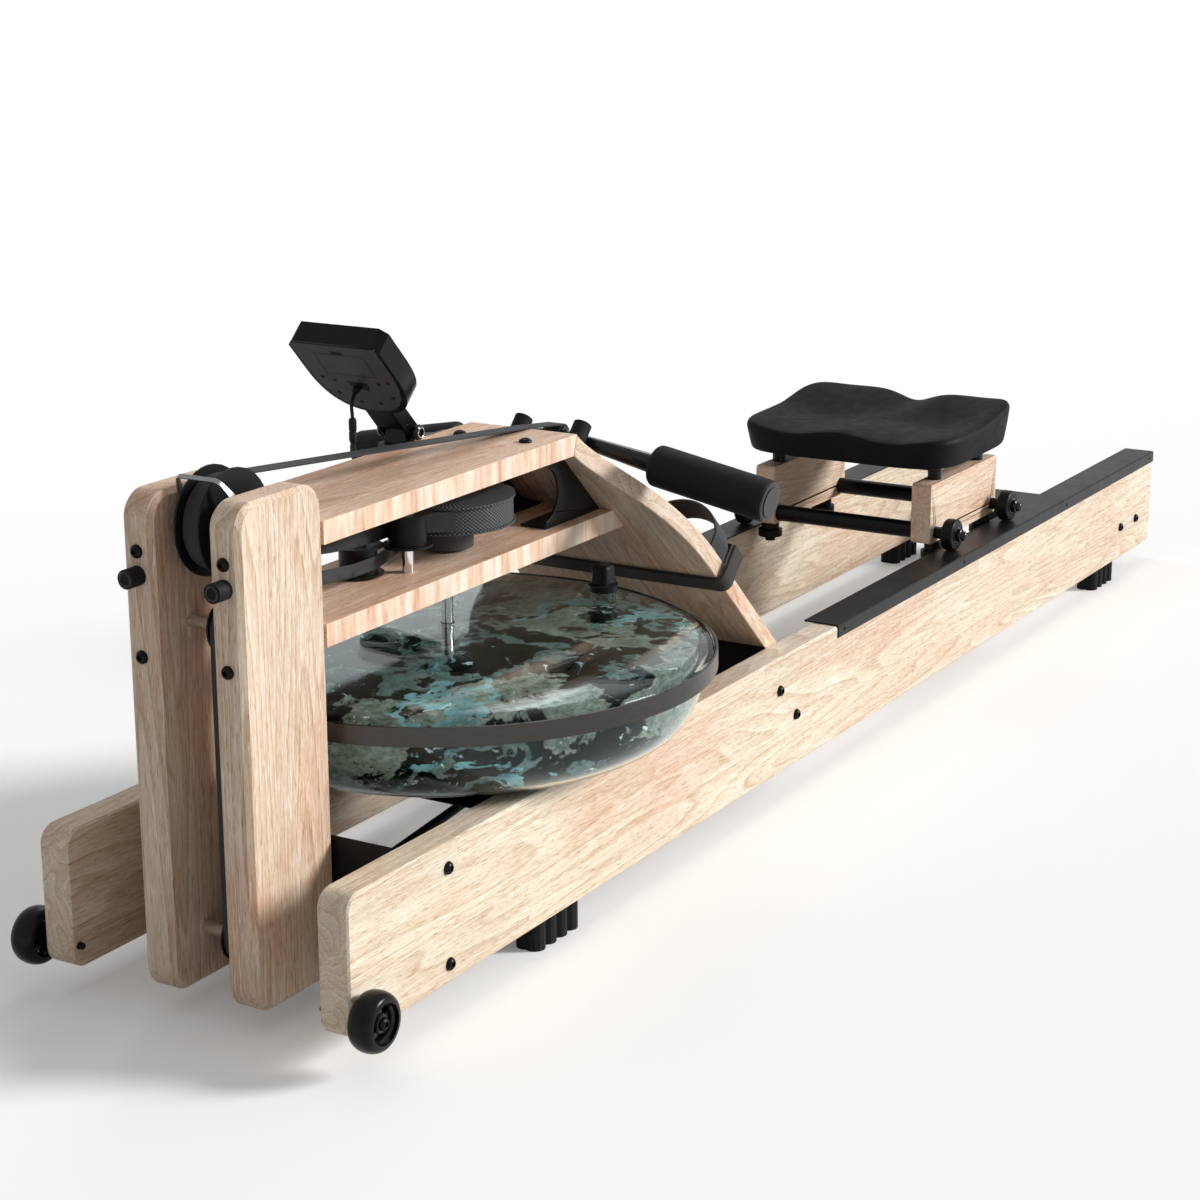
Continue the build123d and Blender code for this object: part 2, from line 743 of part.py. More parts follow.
# ---------------------------------------------------------------- spool, shaft and strap guides
big_spool_z = spool_bottom_z + small_spool_height
spool_top_z = big_spool_z + big_spool_height + 2 * spool_flange_thickness
with BuildPart() as strap_spool:
    # the hub with the small recoil spool and the flanges of the big one
    for bottom_z, height, radius in (
        (spool_bottom_z, small_spool_height, small_spool_radius),
        (big_spool_z, spool_flange_thickness, spool_flange_radius),
        (big_spool_z + spool_flange_thickness, big_spool_height, big_spool_core),
        (spool_top_z - spool_flange_thickness, spool_flange_thickness, spool_flange_radius),
    ):
        with BuildSketch(Plane.XY.offset(bottom_z)):
            with Locations((tank_x, 0)):
                Circle(radius)
        extrude(amount=height)
    with BuildSketch(Plane.XY.offset(spool_bottom_z)):
        with Locations((tank_x, 0)):
            Circle(shaft_radius + running_clearance)
    extrude(amount=spool_top_z - spool_bottom_z, mode=Mode.SUBTRACT)
    # the strap wound on the big spool
    with BuildSketch(Plane.XY.offset(big_spool_z + spool_flange_thickness + fit_clearance)):
        with Locations((tank_x, 0)):
            Circle(big_spool_radius)
            Circle(big_spool_core + fit_clearance, mode=Mode.SUBTRACT)
    extrude(amount=big_spool_height - 2 * fit_clearance)
save(strap_spool.part, "strap_spool")

bearing_top_z = spool_bottom_z - 0.5
dome_top_z = tank_band_bottom_z + tank_band_height + tank_dome_rise
with BuildPart() as shaft_bearing:
    with BuildSketch(Plane.XY.offset(lower_deck_bottom_z - 8.0)):
        with Locations((tank_x, 0)):
            Circle(bearing_radius)
    extrude(amount=bearing_top_z - lower_deck_bottom_z + 8.0)
    with BuildSketch(Plane.XY.offset(lower_deck_bottom_z - 8.0)):
        with Locations((tank_x, 0)):
            Circle(bearing_radius + 12.0)
    extrude(amount=8.0)
    with BuildSketch(Plane.XY.offset(lower_deck_bottom_z - 8.0)):
        with Locations((tank_x, 0)):
            Circle(shaft_radius + running_clearance)
    extrude(amount=bearing_top_z - lower_deck_bottom_z + 8.0, mode=Mode.SUBTRACT)
save(shaft_bearing.part, "shaft_bearing")

with BuildPart() as impeller_shaft:
    with BuildSketch(Plane.XY.offset(impeller_bottom_z)):
        with Locations((tank_x, 0)):
            Circle(shaft_radius)
    extrude(amount=shaft_top_z - impeller_bottom_z)
    with BuildSketch(Plane.XY.offset(spool_top_z + 0.5)):
        with Locations((tank_x, 0)):
            RegularPolygon(shaft_radius * 1.6, 6)
    extrude(amount=6.0)
save(impeller_shaft.part, "impeller_shaft")

with BuildPart() as strap_guides:
    # the chrome pillar and the short stud, each with a shoulder under its roller and a cap above it
    for place, roller_bottom_z, roller_height in (
        (pillar_place, guide_roller_bottom_z, guide_roller_height),
        (recoil_roller_place, recoil_roller_bottom_z, recoil_roller_height),
    ):
        with BuildSketch(Plane.XY.offset(lower_deck_top_z)):
            with Locations(place):
                Circle(guide_pillar_radius)
        extrude(amount=roller_bottom_z - lower_deck_top_z - 0.3)
        with BuildSketch(Plane.XY.offset(roller_bottom_z - 0.3)):
            with Locations(place):
                Circle(guide_pin_radius)
        extrude(amount=roller_height + 0.6)
        with BuildSketch(Plane.XY.offset(roller_bottom_z + roller_height + 0.3)):
            with Locations(place):
                Circle(guide_pillar_radius + 2.0)
        extrude(amount=4.0)
save(strap_guides.part, "strap_guides")

for name, place, roller_bottom_z, roller_height in (
    ("drive_guide_roller", pillar_place, guide_roller_bottom_z, guide_roller_height),
    ("recoil_guide_roller", recoil_roller_place, recoil_roller_bottom_z, recoil_roller_height),
):
    with BuildPart() as guide_roller:
        with BuildSketch(Plane.XY.offset(roller_bottom_z)):
            with Locations(place):
                RegularPolygon(guide_roller_radius, wheel_facets)
        extrude(amount=roller_height)
        for flange_z in (roller_bottom_z, roller_bottom_z + roller_height - guide_roller_flange_thickness):
            with BuildSketch(Plane.XY.offset(flange_z)):
                with Locations(place):
                    RegularPolygon(guide_roller_flange_radius, wheel_facets)
            extrude(amount=guide_roller_flange_thickness)
        with BuildSketch(Plane.XY.offset(roller_bottom_z)):
            with Locations(place):
                Circle(guide_pin_radius + running_clearance)
        extrude(amount=roller_height, mode=Mode.SUBTRACT)
    save(guide_roller.part, name)

# ---------------------------------------------------------------- drive strap
strap_offset = strap_gap + strap_thickness / 2
handle_place = (front_x + handle_setback, handle_z)
ridge_place = (ridge_x, upper_deck_top_z)
drive_strap_z = guide_roller_bottom_z + guide_roller_height / 2
twist_start_x = front_pulley_x + 75.0
twist_end_x = pillar_place[0] - 30.0
front_pulley_wrap = front_pulley_core + strap_offset
guide_wrap = guide_roller_radius + strap_offset
level_circles = (
    ((twist_end_x, guide_pillar_y + guide_wrap), 0),
    (pillar_place, -guide_wrap),
    ((tank_x, 0), big_spool_radius + strap_offset),
)
twist_start_z = drive_strap_z + (twist_end_x - twist_start_x) * 0.06
upright_circles = (
    (handle_place, handle_hub_radius + strap_offset),
    (ridge_place, strap_offset),
    (axle_places[0], front_pulley_wrap),
    ((twist_start_x, twist_start_z), 0),
)
twist_steps = 6
with BuildPart() as drive_strap:
    with BuildSketch(side_plane(0)):
        with BuildLine():
            strap_outline(upright_circles, strap_thickness)
        make_face()
        with Locations(handle_place):
            Circle(handle_hub_radius + strap_gap + strap_thickness)
            Circle(handle_hub_radius + strap_gap, mode=Mode.SUBTRACT)
    extrude(amount=strap_width / 2, both=True)
    with BuildSketch(Plane.XY.offset(drive_strap_z)):
        with BuildLine():
            strap_outline(level_circles, strap_thickness)
        make_face()
    extrude(amount=strap_width / 2, both=True)
    # between the two, the strap turns a quarter turn
    twist_end = (twist_end_x, guide_pillar_y + guide_wrap, drive_strap_z)
    twist_sections(
        (twist_start_x, 0, twist_start_z), twist_end, strap_width, strap_thickness, twist_steps
    )
save(drive_strap.part, "drive_strap")

# ---------------------------------------------------------------- recoil strap and its elastic cord
recoil_offset = strap_gap + recoil_thickness / 2
recoil_z = spool_bottom_z + small_spool_height / 2
idler_wrap = idler_core + recoil_offset
recoil_twist_start_x = recoil_roller_place[0] - 35.0
recoil_twist_end_x = idler_x + 40.0
recoil_top_z = middle_pulley_z + idler_wrap
cord_anchor = on_board(middle_member_start, 0, seat_depth - middle_member_depth * 0.75)
cord_start_x = idler_x + 45.0
recoil_level_circles = (
    ((tank_x, 0), small_spool_radius + recoil_offset),
    (recoil_roller_place, -guide_roller_radius - recoil_offset),
    ((recoil_twist_start_x, recoil_roller_y - guide_roller_radius - recoil_offset), 0),
)
lower_run = (cord_anchor.Z - lower_pulley_z + idler_wrap) / (cord_anchor.X - idler_x)
cord_start = (cord_start_x, lower_pulley_z - idler_wrap + lower_run * (cord_start_x - idler_x))
recoil_upright_circles = (
    ((recoil_twist_end_x, recoil_top_z), 0),
    (axle_places[1], idler_wrap),
    (axle_places[2], idler_wrap),
    (cord_start, 0),
)
cord_radius = 5.0
cord_plane = Plane(
    origin=(cord_start[0] + 0.3, idler_y, cord_start[1]),
    x_dir=(0, 1, 0),
    z_dir=(1, 0, lower_run),
)
anchor_plane = Plane(origin=cord_anchor, z_dir=(-cos(slope), 0, sin(slope))).offset(strap_gap)
with BuildPart() as recoil_strap:
    with BuildSketch(Plane.XY.offset(recoil_z)):
        with BuildLine():
            strap_outline(recoil_level_circles, recoil_thickness)
        make_face()
    extrude(amount=recoil_width / 2, both=True)
    with BuildSketch(side_plane(idler_y)):
        with BuildLine():
            strap_outline(recoil_upright_circles, recoil_thickness)
        make_face()
    extrude(amount=recoil_width / 2, both=True)
    twist_sections(
        (recoil_twist_end_x, idler_y, recoil_top_z),
        (recoil_twist_start_x, recoil_roller_y - guide_roller_radius - recoil_offset, recoil_z),
        recoil_width,
        recoil_thickness,
        twist_steps,
    )
    # the elastic cord from the strap's end to the middle cross member
    with BuildSketch(cord_plane):
        Circle(cord_radius)
    extrude(amount=cord_anchor.X - cord_start_x + 20.0)
    split(bisect_by=anchor_plane, keep=Keep.TOP)
save(recoil_strap.part, "recoil_strap")

# ---------------------------------------------------------------- gusset brackets under the footboard's top
gusset_y = 47.0
gusset_front_x = front_x + 535.0
notch_radius = 29.0
gusset_foot_x = underside_x(lower_deck_top_z) - steel_wall
upper_deck_bottom_z = upper_deck_top_z - deck_thickness
with BuildPart() as gusset_brackets:
    with BuildSketch(side_plane(-gusset_y)):
        with BuildLine():
            Polyline(
                (gusset_front_x, lower_deck_top_z),
                (underside_x(lower_deck_top_z), lower_deck_top_z),
                (underside_x(upper_deck_bottom_z), upper_deck_bottom_z),
                (gusset_front_x, upper_deck_bottom_z),
                close=True,
            )
        make_face()
        with Locations((gusset_front_x - 4.0, (lower_deck_top_z + upper_deck_bottom_z) / 2)):
            Circle(notch_radius, mode=Mode.SUBTRACT)
    extrude(amount=steel_wall)
    with BuildSketch(Plane.XY.offset(lower_deck_top_z)):
        with Locations(((gusset_front_x + gusset_foot_x) / 2 - 4.0, -gusset_y + notch_radius / 2)):
            Rectangle(gusset_foot_x - gusset_front_x - 8.0, notch_radius)
    extrude(amount=steel_wall)
    mirror(about=Plane.XZ)
save(gusset_brackets.part, "gusset_brackets")

# ---------------------------------------------------------------- water tank
tank_floor_z = beam_top_z
band_top_z = tank_band_bottom_z + tank_band_height
seam_radius = tank_band_radius - tank_band_thickness - fit_clearance
tank_plane = Plane(origin=(tank_x, 0, 0), x_dir=(1, 0, 0), z_dir=(0, -1, 0))
tank_axis = Axis((tank_x, 0, 0), (0, 0, 1))
inner_radius = tank_radius - tank_wall


def bowl_curve(radius, floor_z):
    """Points up the bowl's quarter curve, from its floor to its upright side."""
    turns = [(step + 1) / (bowl_facets + 1) * pi / 2 for step in range(bowl_facets)]
    run = radius - tank_floor_radius + tank_wall
    return [(radius - run + run * sin(turn), floor_z + bowl_rise * (1 - cos(turn))) for turn in turns] + [
        (radius, floor_z + bowl_rise)
    ]


def dome_curve(rim_radius, rim_z, top_z):
    """Points over the dome's shoulder, from its rim to the edge of its flat top."""
    turns = [(step + 1) / (dome_facets + 1) * pi / 2 for step in range(dome_facets)]
    run = rim_radius - dome_flat_radius
    rise = top_z - rim_z
    return [(dome_flat_radius + run * cos(turn), rim_z + rise * sin(turn)) for turn in turns] + [
        (dome_flat_radius, top_z)
    ]


with BuildPart() as tank_lower_shell:
    with BuildSketch(tank_plane):
        with BuildLine():
            Polyline(
                (0, tank_floor_z),
                (tank_floor_radius, tank_floor_z),
                *bowl_curve(tank_radius, tank_floor_z),
                (tank_radius, tank_band_bottom_z),
                (seam_radius, tank_band_bottom_z),
                (seam_radius, tank_band_bottom_z + tank_wall),
                (inner_radius, tank_band_bottom_z + tank_wall),
                *reversed(bowl_curve(inner_radius, tank_floor_z + tank_wall)),
                (tank_floor_radius - tank_wall, tank_floor_z + tank_wall),
                (0, tank_floor_z + tank_wall),
                close=True,
            )
        make_face()
    revolve(axis=tank_axis)
save(tank_lower_shell.part, "tank_lower_shell")

neck_place = (tank_x + tank_neck_offset[0], tank_neck_offset[1])
lid_bottom_z = tank_band_bottom_z + tank_wall + fit_clearance
with BuildPart() as tank_upper_shell:
    with BuildSketch(tank_plane):
        with BuildLine():
            Polyline(
                (inner_radius, lid_bottom_z),
                (seam_radius, lid_bottom_z),
                (seam_radius, band_top_z),
                *dome_curve(seam_radius, band_top_z, dome_top_z),
                (shaft_radius + running_clearance, dome_top_z),
                (shaft_radius + running_clearance, dome_top_z - tank_wall),
                *reversed(dome_curve(inner_radius, band_top_z, dome_top_z - tank_wall)),
                (inner_radius, band_top_z),
                close=True,
            )
        make_face()
    revolve(axis=tank_axis)
    with BuildSketch(Plane.XY.offset(band_top_z + 8.0)):
        with Locations(neck_place):
            Circle(tank_neck_radius)
    extrude(amount=tank_neck_top_z - band_top_z - 8.0)
    with BuildSketch(Plane.XY.offset(tank_band_bottom_z)):
        with Locations(neck_place):
            Circle(tank_neck_bore)
    extrude(amount=tank_neck_top_z - tank_band_bottom_z, mode=Mode.SUBTRACT)
save(tank_upper_shell.part, "tank_upper_shell")

with BuildPart() as tank_band:
    with BuildSketch(tank_plane):
        with Locations((tank_band_radius - tank_band_thickness / 2, (tank_band_bottom_z + band_top_z) / 2)):
            Rectangle(tank_band_thickness, tank_band_height)
    revolve(axis=tank_axis)
    # the clamp's ears and its tightening bolt, at the front of the tank
    clamp_x = tank_x - tank_band_radius - 6.0
    for side in (-1, 1):
        with BuildSketch(side_plane(side * 6.0)):
            with Locations((clamp_x, (tank_band_bottom_z + band_top_z) / 2)):
                RectangleRounded(14.0, tank_band_height - 2.0, 2.0)
        extrude(amount=-side * tank_wall)
    with BuildSketch(side_plane(-16.0)):
        with Locations((clamp_x - 1.5, (tank_band_bottom_z + band_top_z) / 2)):
            Circle(3.0)
    extrude(amount=-32.0)
save(tank_band.part, "tank_band")

# the water fills the lower shell and leaves the room the impeller sweeps
water_gap = 0.5
water_floor_z = tank_floor_z + tank_wall + water_gap
with BuildPart() as tank_water:
    with BuildSketch(tank_plane):
        with BuildLine():
            Polyline(
                (0, water_floor_z),
                (tank_floor_radius - 2 * tank_wall, water_floor_z),
                *bowl_curve(inner_radius - water_gap, water_floor_z),
                (inner_radius - water_gap, tank_band_bottom_z),
                (0, tank_band_bottom_z),
                close=True,
            )
        make_face()
    revolve(axis=tank_axis)
    split(bisect_by=Plane.XY.offset(water_level_z), keep=Keep.BOTTOM)
    with BuildSketch(Plane.XY.offset(impeller_bottom_z - impeller_clearance)):
        with Locations((tank_x, 0)):
            Circle(impeller_radius + impeller_clearance)
    extrude(amount=impeller_height + impeller_clearance, mode=Mode.SUBTRACT)
save(tank_water.part, "tank_water")

with BuildPart() as impeller:
    with BuildSketch(Plane.XY.offset(impeller_bottom_z)):
        with Locations((tank_x, 0)):
            Circle(impeller_hub_radius)
            with PolarLocations(impeller_radius / 2 + 8.0, impeller_blades):
                Rectangle(impeller_radius - 16.0, 5.0)
    extrude(amount=impeller_height)
    with BuildSketch(Plane.XY.offset(impeller_bottom_z)):
        with Locations((tank_x, 0)):
            Circle(shaft_radius + 0.01)
    extrude(amount=impeller_height, mode=Mode.SUBTRACT)
save(impeller.part, "impeller")

plug_radius = tank_neck_bore - 0.4
with BuildPart() as tank_cap:
    with BuildSketch(Plane.XY.offset(tank_neck_top_z)):
        with Locations(neck_place):
            RegularPolygon(cap_flange_radius, wheel_facets)
    extrude(amount=cap_flange_height, taper=6)
    with BuildSketch(Plane.XY.offset(tank_neck_top_z + cap_flange_height)):
        with Locations(Location((neck_place[0], neck_place[1], 0), (0, 0, 15))):
            cap_grip = Rectangle(cap_grip_width, cap_grip_width)
            chamfer(cap_grip.vertices(), 3.0)
    extrude(amount=cap_grip_height, taper=3)
    with BuildSketch(Plane.XY.offset(tank_neck_top_z)):
        with Locations(neck_place):
            Circle(plug_radius)
    extrude(amount=-14.0)
save(tank_cap.part, "tank_cap")

cradle_plate = 3.0
with BuildPart() as tank_cradle:
    with BuildSketch(Plane.YZ.offset(tank_x - cradle_length / 2)):
        with Locations((0, cradle_top_z - cradle_flange_drop / 2)):
            Rectangle(2 * member_half, cradle_flange_drop)
        with Locations((0, cradle_top_z - cradle_plate - cradle_flange_drop / 2)):
            Rectangle(2 * (member_half - cradle_plate), cradle_flange_drop, mode=Mode.SUBTRACT)
    extrude(amount=cradle_length)
    # rubber pads carry the tank's floor
    with BuildSketch(Plane.XY.offset(cradle_top_z)):
        with Locations((tank_x, 0)):
            with GridLocations(cradle_length * 0.6, member_half, 2, 2):
                Rectangle(50.0, 30.0)
    extrude(amount=tank_floor_z - cradle_top_z)
save(tank_cradle.part, "tank_cradle")

# ---------------------------------------------------------------- pegs and handle
with BuildPart() as handle_pegs:
    with BuildSketch(board_plane):
        with Locations((peg_start, -peg_y), (peg_start, peg_y)):
            Circle(peg_radius)
    extrude(amount=peg_height)
save(handle_pegs.part, "handle_pegs")

droop = radians(handle_droop)
arm_length = handle_grip_start / cos(droop)
grip_length = (handle_half_length - handle_grip_start) / cos(droop)
arm_plane = Plane(
    origin=(handle_place[0], 0, handle_z),
    x_dir=(1, 0, 0),
    z_dir=(0, -cos(droop), -sin(droop)),
)
with BuildPart() as handle_bar:
    with BuildSketch(arm_plane):
        RegularPolygon(handle_arm_root, arm_facets)
    with BuildSketch(arm_plane.offset(arm_length)):
        RegularPolygon(handle_arm_tip, arm_facets)
    loft(ruled=True)
    with BuildSketch(arm_plane.offset(arm_length)):
        RegularPolygon(handle_grip_bore, arm_facets)
    extrude(amount=grip_length - 2.0)
    with BuildSketch(arm_plane.offset(arm_length + grip_length - 2.0)):
        RegularPolygon(handle_grip_radius * 0.72, arm_facets)
    extrude(amount=3.0)
    mirror(about=Plane.XZ)
    with BuildSketch(side_plane(strap_width / 2 + 2.0)):
        with Locations(handle_place):
            Circle(handle_hub_radius)
    extrude(amount=strap_width + 4.0)
save(handle_bar.part, "handle_bar")

with BuildPart() as handle_grips:
    with BuildSketch(arm_plane.offset(arm_length)):
        Circle(handle_grip_radius)
        RegularPolygon(handle_grip_bore + 0.01, arm_facets, mode=Mode.SUBTRACT)
    extrude(amount=grip_length - 2.0)
    mirror(about=Plane.XZ)
save(handle_grips.part, "handle_grips")

# ---------------------------------------------------------------- foot rest
board_back = -footboard_thickness
rest_gap = 0.3
with BuildPart() as footrest_bar:
    with BuildSketch(board_plane.offset(board_back - rest_gap)):
        with Locations((footrest_start, 0)):
            Rectangle(footrest_bar_width, 2 * (footrest_arm_y + footrest_bar_thickness))
    extrude(amount=-footrest_bar_thickness)
    arm_rise = footboard_thickness + rest_gap + footrest_bar_thickness + footrest_arm_height
    for side in (-1, 1):
        with BuildSketch(board_plane.offset(board_back - rest_gap - footrest_bar_thickness)):
            with Locations((footrest_start, side * (footrest_arm_y + footrest_bar_thickness / 2))):
                Rectangle(footrest_bar_width, footrest_bar_thickness)
        extrude(amount=arm_rise)
save(footrest_bar.part, "footrest_bar")

heel_rest_end = footrest_start + 56.0
with BuildPart() as heel_rests:
    with BuildSketch(board_plane.offset(rest_gap)):
        with Locations((heel_rest_end - heel_rest_length / 2, -heel_rest_y)):
            RectangleRounded(heel_rest_length, heel_rest_width, 12.0)
    extrude(amount=heel_rest_thickness)
    # the heel cup, a curved wall round the lower end
    cup_centre = (heel_rest_end - heel_rest_width / 2, -heel_rest_y)
    with BuildSketch(board_plane.offset(rest_gap + heel_rest_thickness)):
        with Locations(cup_centre):
            Circle(heel_rest_width / 2)
            Circle(heel_rest_width / 2 - heel_rest_thickness, mode=Mode.SUBTRACT)
            with Locations((-heel_rest_width / 2 + 10.0, 0)):
                Rectangle(heel_rest_width, heel_rest_width, mode=Mode.SUBTRACT)
    extrude(amount=heel_cup_height)
    mirror(about=Plane.XZ)
save(heel_rests.part, "heel_rests")

with BuildPart() as foot_straps:
    # a band over each foot, its ends on the heel rest's sides
    strap_start = footrest_start - 10.0
    strap_half = heel_rest_width / 2 + foot_strap_thickness + 0.5
    strap_frame = Plane(
        origin=on_board(strap_start - foot_strap_width / 2, -heel_rest_y, rest_gap),
        x_dir=(0, 1, 0),
        z_dir=(cos(slope), 0, -sin(slope)),
    )
    with BuildSketch(strap_frame):
        with BuildLine():
            inner_half = strap_half - foot_strap_thickness
            side_height = foot_strap_height * 0.4
            crown = foot_strap_height - foot_strap_thickness
            Line((-strap_half, 0), (-strap_half, side_height))
            ThreePointArc((-strap_half, side_height), (0, foot_strap_height), (strap_half, side_height))
            Polyline((strap_half, side_height), (strap_half, 0), (inner_half, 0), (inner_half, side_height))
            ThreePointArc((inner_half, side_height), (0, crown), (-inner_half, side_height))
            Polyline((-inner_half, side_height), (-inner_half, 0), (-strap_half, 0))
        make_face()
    extrude(amount=foot_strap_width)
    mirror(about=Plane.XZ)
save(foot_straps.part, "foot_straps")

# ---------------------------------------------------------------- seat carriage
axle_z = rail_top_z + rolling_gap + seat_roller_radius
seat_axle_places = [(seat_x + side * seat_wheelbase / 2, axle_z) for side in (-1, 1)]
block_top_z = block_bottom_z + block_height
block_outer_y = block_inner_y + block_thickness
with BuildPart() as carriage_blocks:
    with BuildSketch(side_plane(-block_inner_y)) as block_outline:
        with Locations((seat_x, block_bottom_z + block_height / 2)):
            Rectangle(block_length, block_height)
        chamfer(block_outline.vertices(), block_corner_round)
    extrude(amount=block_thickness)
    with BuildSketch(side_plane(-block_inner_y)):
        with Locations(*seat_axle_places):
            Circle(seat_axle_radius + fit_clearance)
    extrude(amount=block_thickness, mode=Mode.SUBTRACT)
    mirror(about=Plane.XZ)
save(carriage_blocks.part, "carriage_blocks")

roller_inner_y = seat_roller_y - seat_roller_width / 2
roller_outer_y = seat_roller_y + seat_roller_width / 2
for name, axle_place in zip(("front_rollers", "rear_rollers"), seat_axle_places):
    with BuildPart() as seat_rollers:
        with BuildSketch(side_plane(-roller_inner_y)):
            with Locations(axle_place):
                Circle(seat_roller_radius)
        extrude(amount=seat_roller_width)
        with BuildSketch(side_plane(-roller_inner_y)):
            with Locations(axle_place):
                Circle(seat_axle_radius + running_clearance)
        extrude(amount=seat_roller_width, mode=Mode.SUBTRACT)
        mirror(about=Plane.XZ)
    save(seat_rollers.part, name)

# rollers on upright bolts run along the rails' inner edges and reach under them
guide_y = rail_inner_y - rolling_gap - guide_roller_hub
guide_places = {
    "guide_roller_front_left": (seat_x - guide_roller_offset, -guide_y),
    "guide_roller_rear_left": (seat_x + guide_roller_offset, -guide_y),
    "guide_roller_front_right": (seat_x - guide_roller_offset, guide_y),
    "guide_roller_rear_right": (seat_x + guide_roller_offset, guide_y),
}
guide_flange_top_z = guide_roller_flange_z + guide_flange_thickness
guide_hub_top_z = block_bottom_z - 1.0
guide_bolt_radius = 4.0
for name, place in guide_places.items():
    with BuildPart() as guide_roller:
        with BuildSketch(Plane.XY.offset(guide_roller_flange_z)):
            with Locations(place):
                RegularPolygon(guide_roller_flange, wheel_facets)
        extrude(amount=guide_flange_thickness)
        with BuildSketch(Plane.XY.offset(guide_flange_top_z)):
            with Locations(place):
                RegularPolygon(guide_roller_hub, wheel_facets)
        extrude(amount=guide_hub_top_z - guide_flange_top_z)
        with BuildSketch(Plane.XY.offset(guide_roller_flange_z)):
            with Locations(place):
                Circle(guide_bolt_radius + running_clearance)
        extrude(amount=block_bottom_z - guide_roller_flange_z, mode=Mode.SUBTRACT)
    save(guide_roller.part, name)

with BuildPart() as carriage_axles:
    with BuildSketch(side_plane(roller_outer_y + 8.0)):
        with Locations(*seat_axle_places):
            Circle(seat_axle_radius)
    extrude(amount=2 * roller_outer_y + 16.0)
    # spacer tubes between the blocks
    with BuildSketch(side_plane(block_inner_y)):
        with Locations(*seat_axle_places):
            Circle(seat_tube_radius)
    extrude(amount=2 * block_inner_y)
    # spacers between block and roller, and acorn nuts outside the rollers
    for side in (-1, 1):
        with BuildSketch(side_plane(side * block_outer_y)):
            with Locations(*seat_axle_places):
                RegularPolygon(seat_axle_radius + 3.0, fastener_facets)
        extrude(amount=-side * (roller_inner_y - block_outer_y - fit_clearance))
        for nut_y, radius, taper in (
            (roller_outer_y + fit_clearance, 3.5, 0),
            (roller_outer_y + 5.0, 2.5, 25),
        ):
            for place in seat_axle_places:
                with BuildSketch(side_plane(side * nut_y)):
                    with Locations(place):
                        RegularPolygon(seat_axle_radius + radius, 6)
                extrude(amount=-side * 6.0, taper=taper)
    # bolts for the guide rollers, up into the blocks' undersides
    for bottom_z, top_z, radius in (
        (guide_roller_flange_z - 6.5, guide_roller_flange_z - 0.5, guide_bolt_radius + 3.0),
        (guide_roller_flange_z - 0.5, block_bottom_z, guide_bolt_radius),
    ):
        with BuildSketch(Plane.XY.offset(bottom_z)):
            with Locations(*guide_places.values()):
                RegularPolygon(radius, fastener_facets)
        extrude(amount=top_z - bottom_z)
save(carriage_axles.part, "carriage_axles")

plate_bottom_z = block_top_z + spacer_height
pad_bottom_z = plate_bottom_z + seat_plate_thickness
with BuildPart() as seat_plate:
    with BuildSketch(Plane.XY.offset(plate_bottom_z)):
        with Locations((seat_x, 0)):
            RectangleRounded(*seat_plate_size, 12.0)
    extrude(amount=seat_plate_thickness)
    with BuildSketch(Plane.XY.offset(block_top_z)):
        with Locations((seat_x, 0)):
            with GridLocations(140.0, 2 * block_inner_y + block_thickness, 2, 2):
                Circle(9.0)
    extrude(amount=spacer_height)
save(seat_plate.part, "seat_plate")

with BuildPart() as seat_pad:
    with BuildSketch(Plane.XY.offset(pad_bottom_z)):
        with Locations((seat_x, 0)):
            RectangleRounded(seat_pad_length, seat_pad_width, seat_pad_corner)
    extrude(amount=seat_pad_height)
    chamfer(seat_pad.faces().sort_by(Axis.Z)[-1].edges(), seat_pad_height * 0.25)
    # the dip along the middle and the notch at the rower's tail
    with BuildSketch(Plane.YZ.offset(seat_x)):
        with Locations((0, pad_bottom_z + seat_pad_height + 52.0)):
            Circle(64.0)
    extrude(amount=seat_pad_length, both=True, mode=Mode.SUBTRACT)
save(seat_pad.part, "seat_pad")

# ---------------------------------------------------------------- monitor
lean = radians(monitor_lean)
monitor_pivot_x = front_x + monitor_pivot_setback
monitor_plane = Plane(
    origin=(front_x + monitor_top_setback, monitor_y, monitor_top_z),
    x_dir=(0, 1, 0),
    z_dir=(sin(lean), 0, cos(lean)),
)
button_places = [
    ((index - (button_count - 1) / 2) * button_pitch, -monitor_height * 0.78)
    for index in range(button_count)
]
ear_reach = bracket_ear_radius * 0.7
ear_corners = (
    monitor_plane.from_local_coords((0, -monitor_height * 0.8, -monitor_thickness + 1.0)),
    monitor_plane.from_local_coords((0, -monitor_height * 0.97, -monitor_thickness / 4)),
    Vector(monitor_pivot_x + ear_reach, 0, monitor_pivot_z + ear_reach),
    Vector(monitor_pivot_x - ear_reach, 0, monitor_pivot_z - ear_reach),
)
monitor_half = monitor_width / 2
monitor_shoulder = monitor_height * 0.42
monitor_ear = bracket_ear_radius
monitor_pivot = (monitor_pivot_x, monitor_pivot_z)
bracket_half = bracket_width / 2
arm_half = bracket_half - bracket_thickness - 1.3
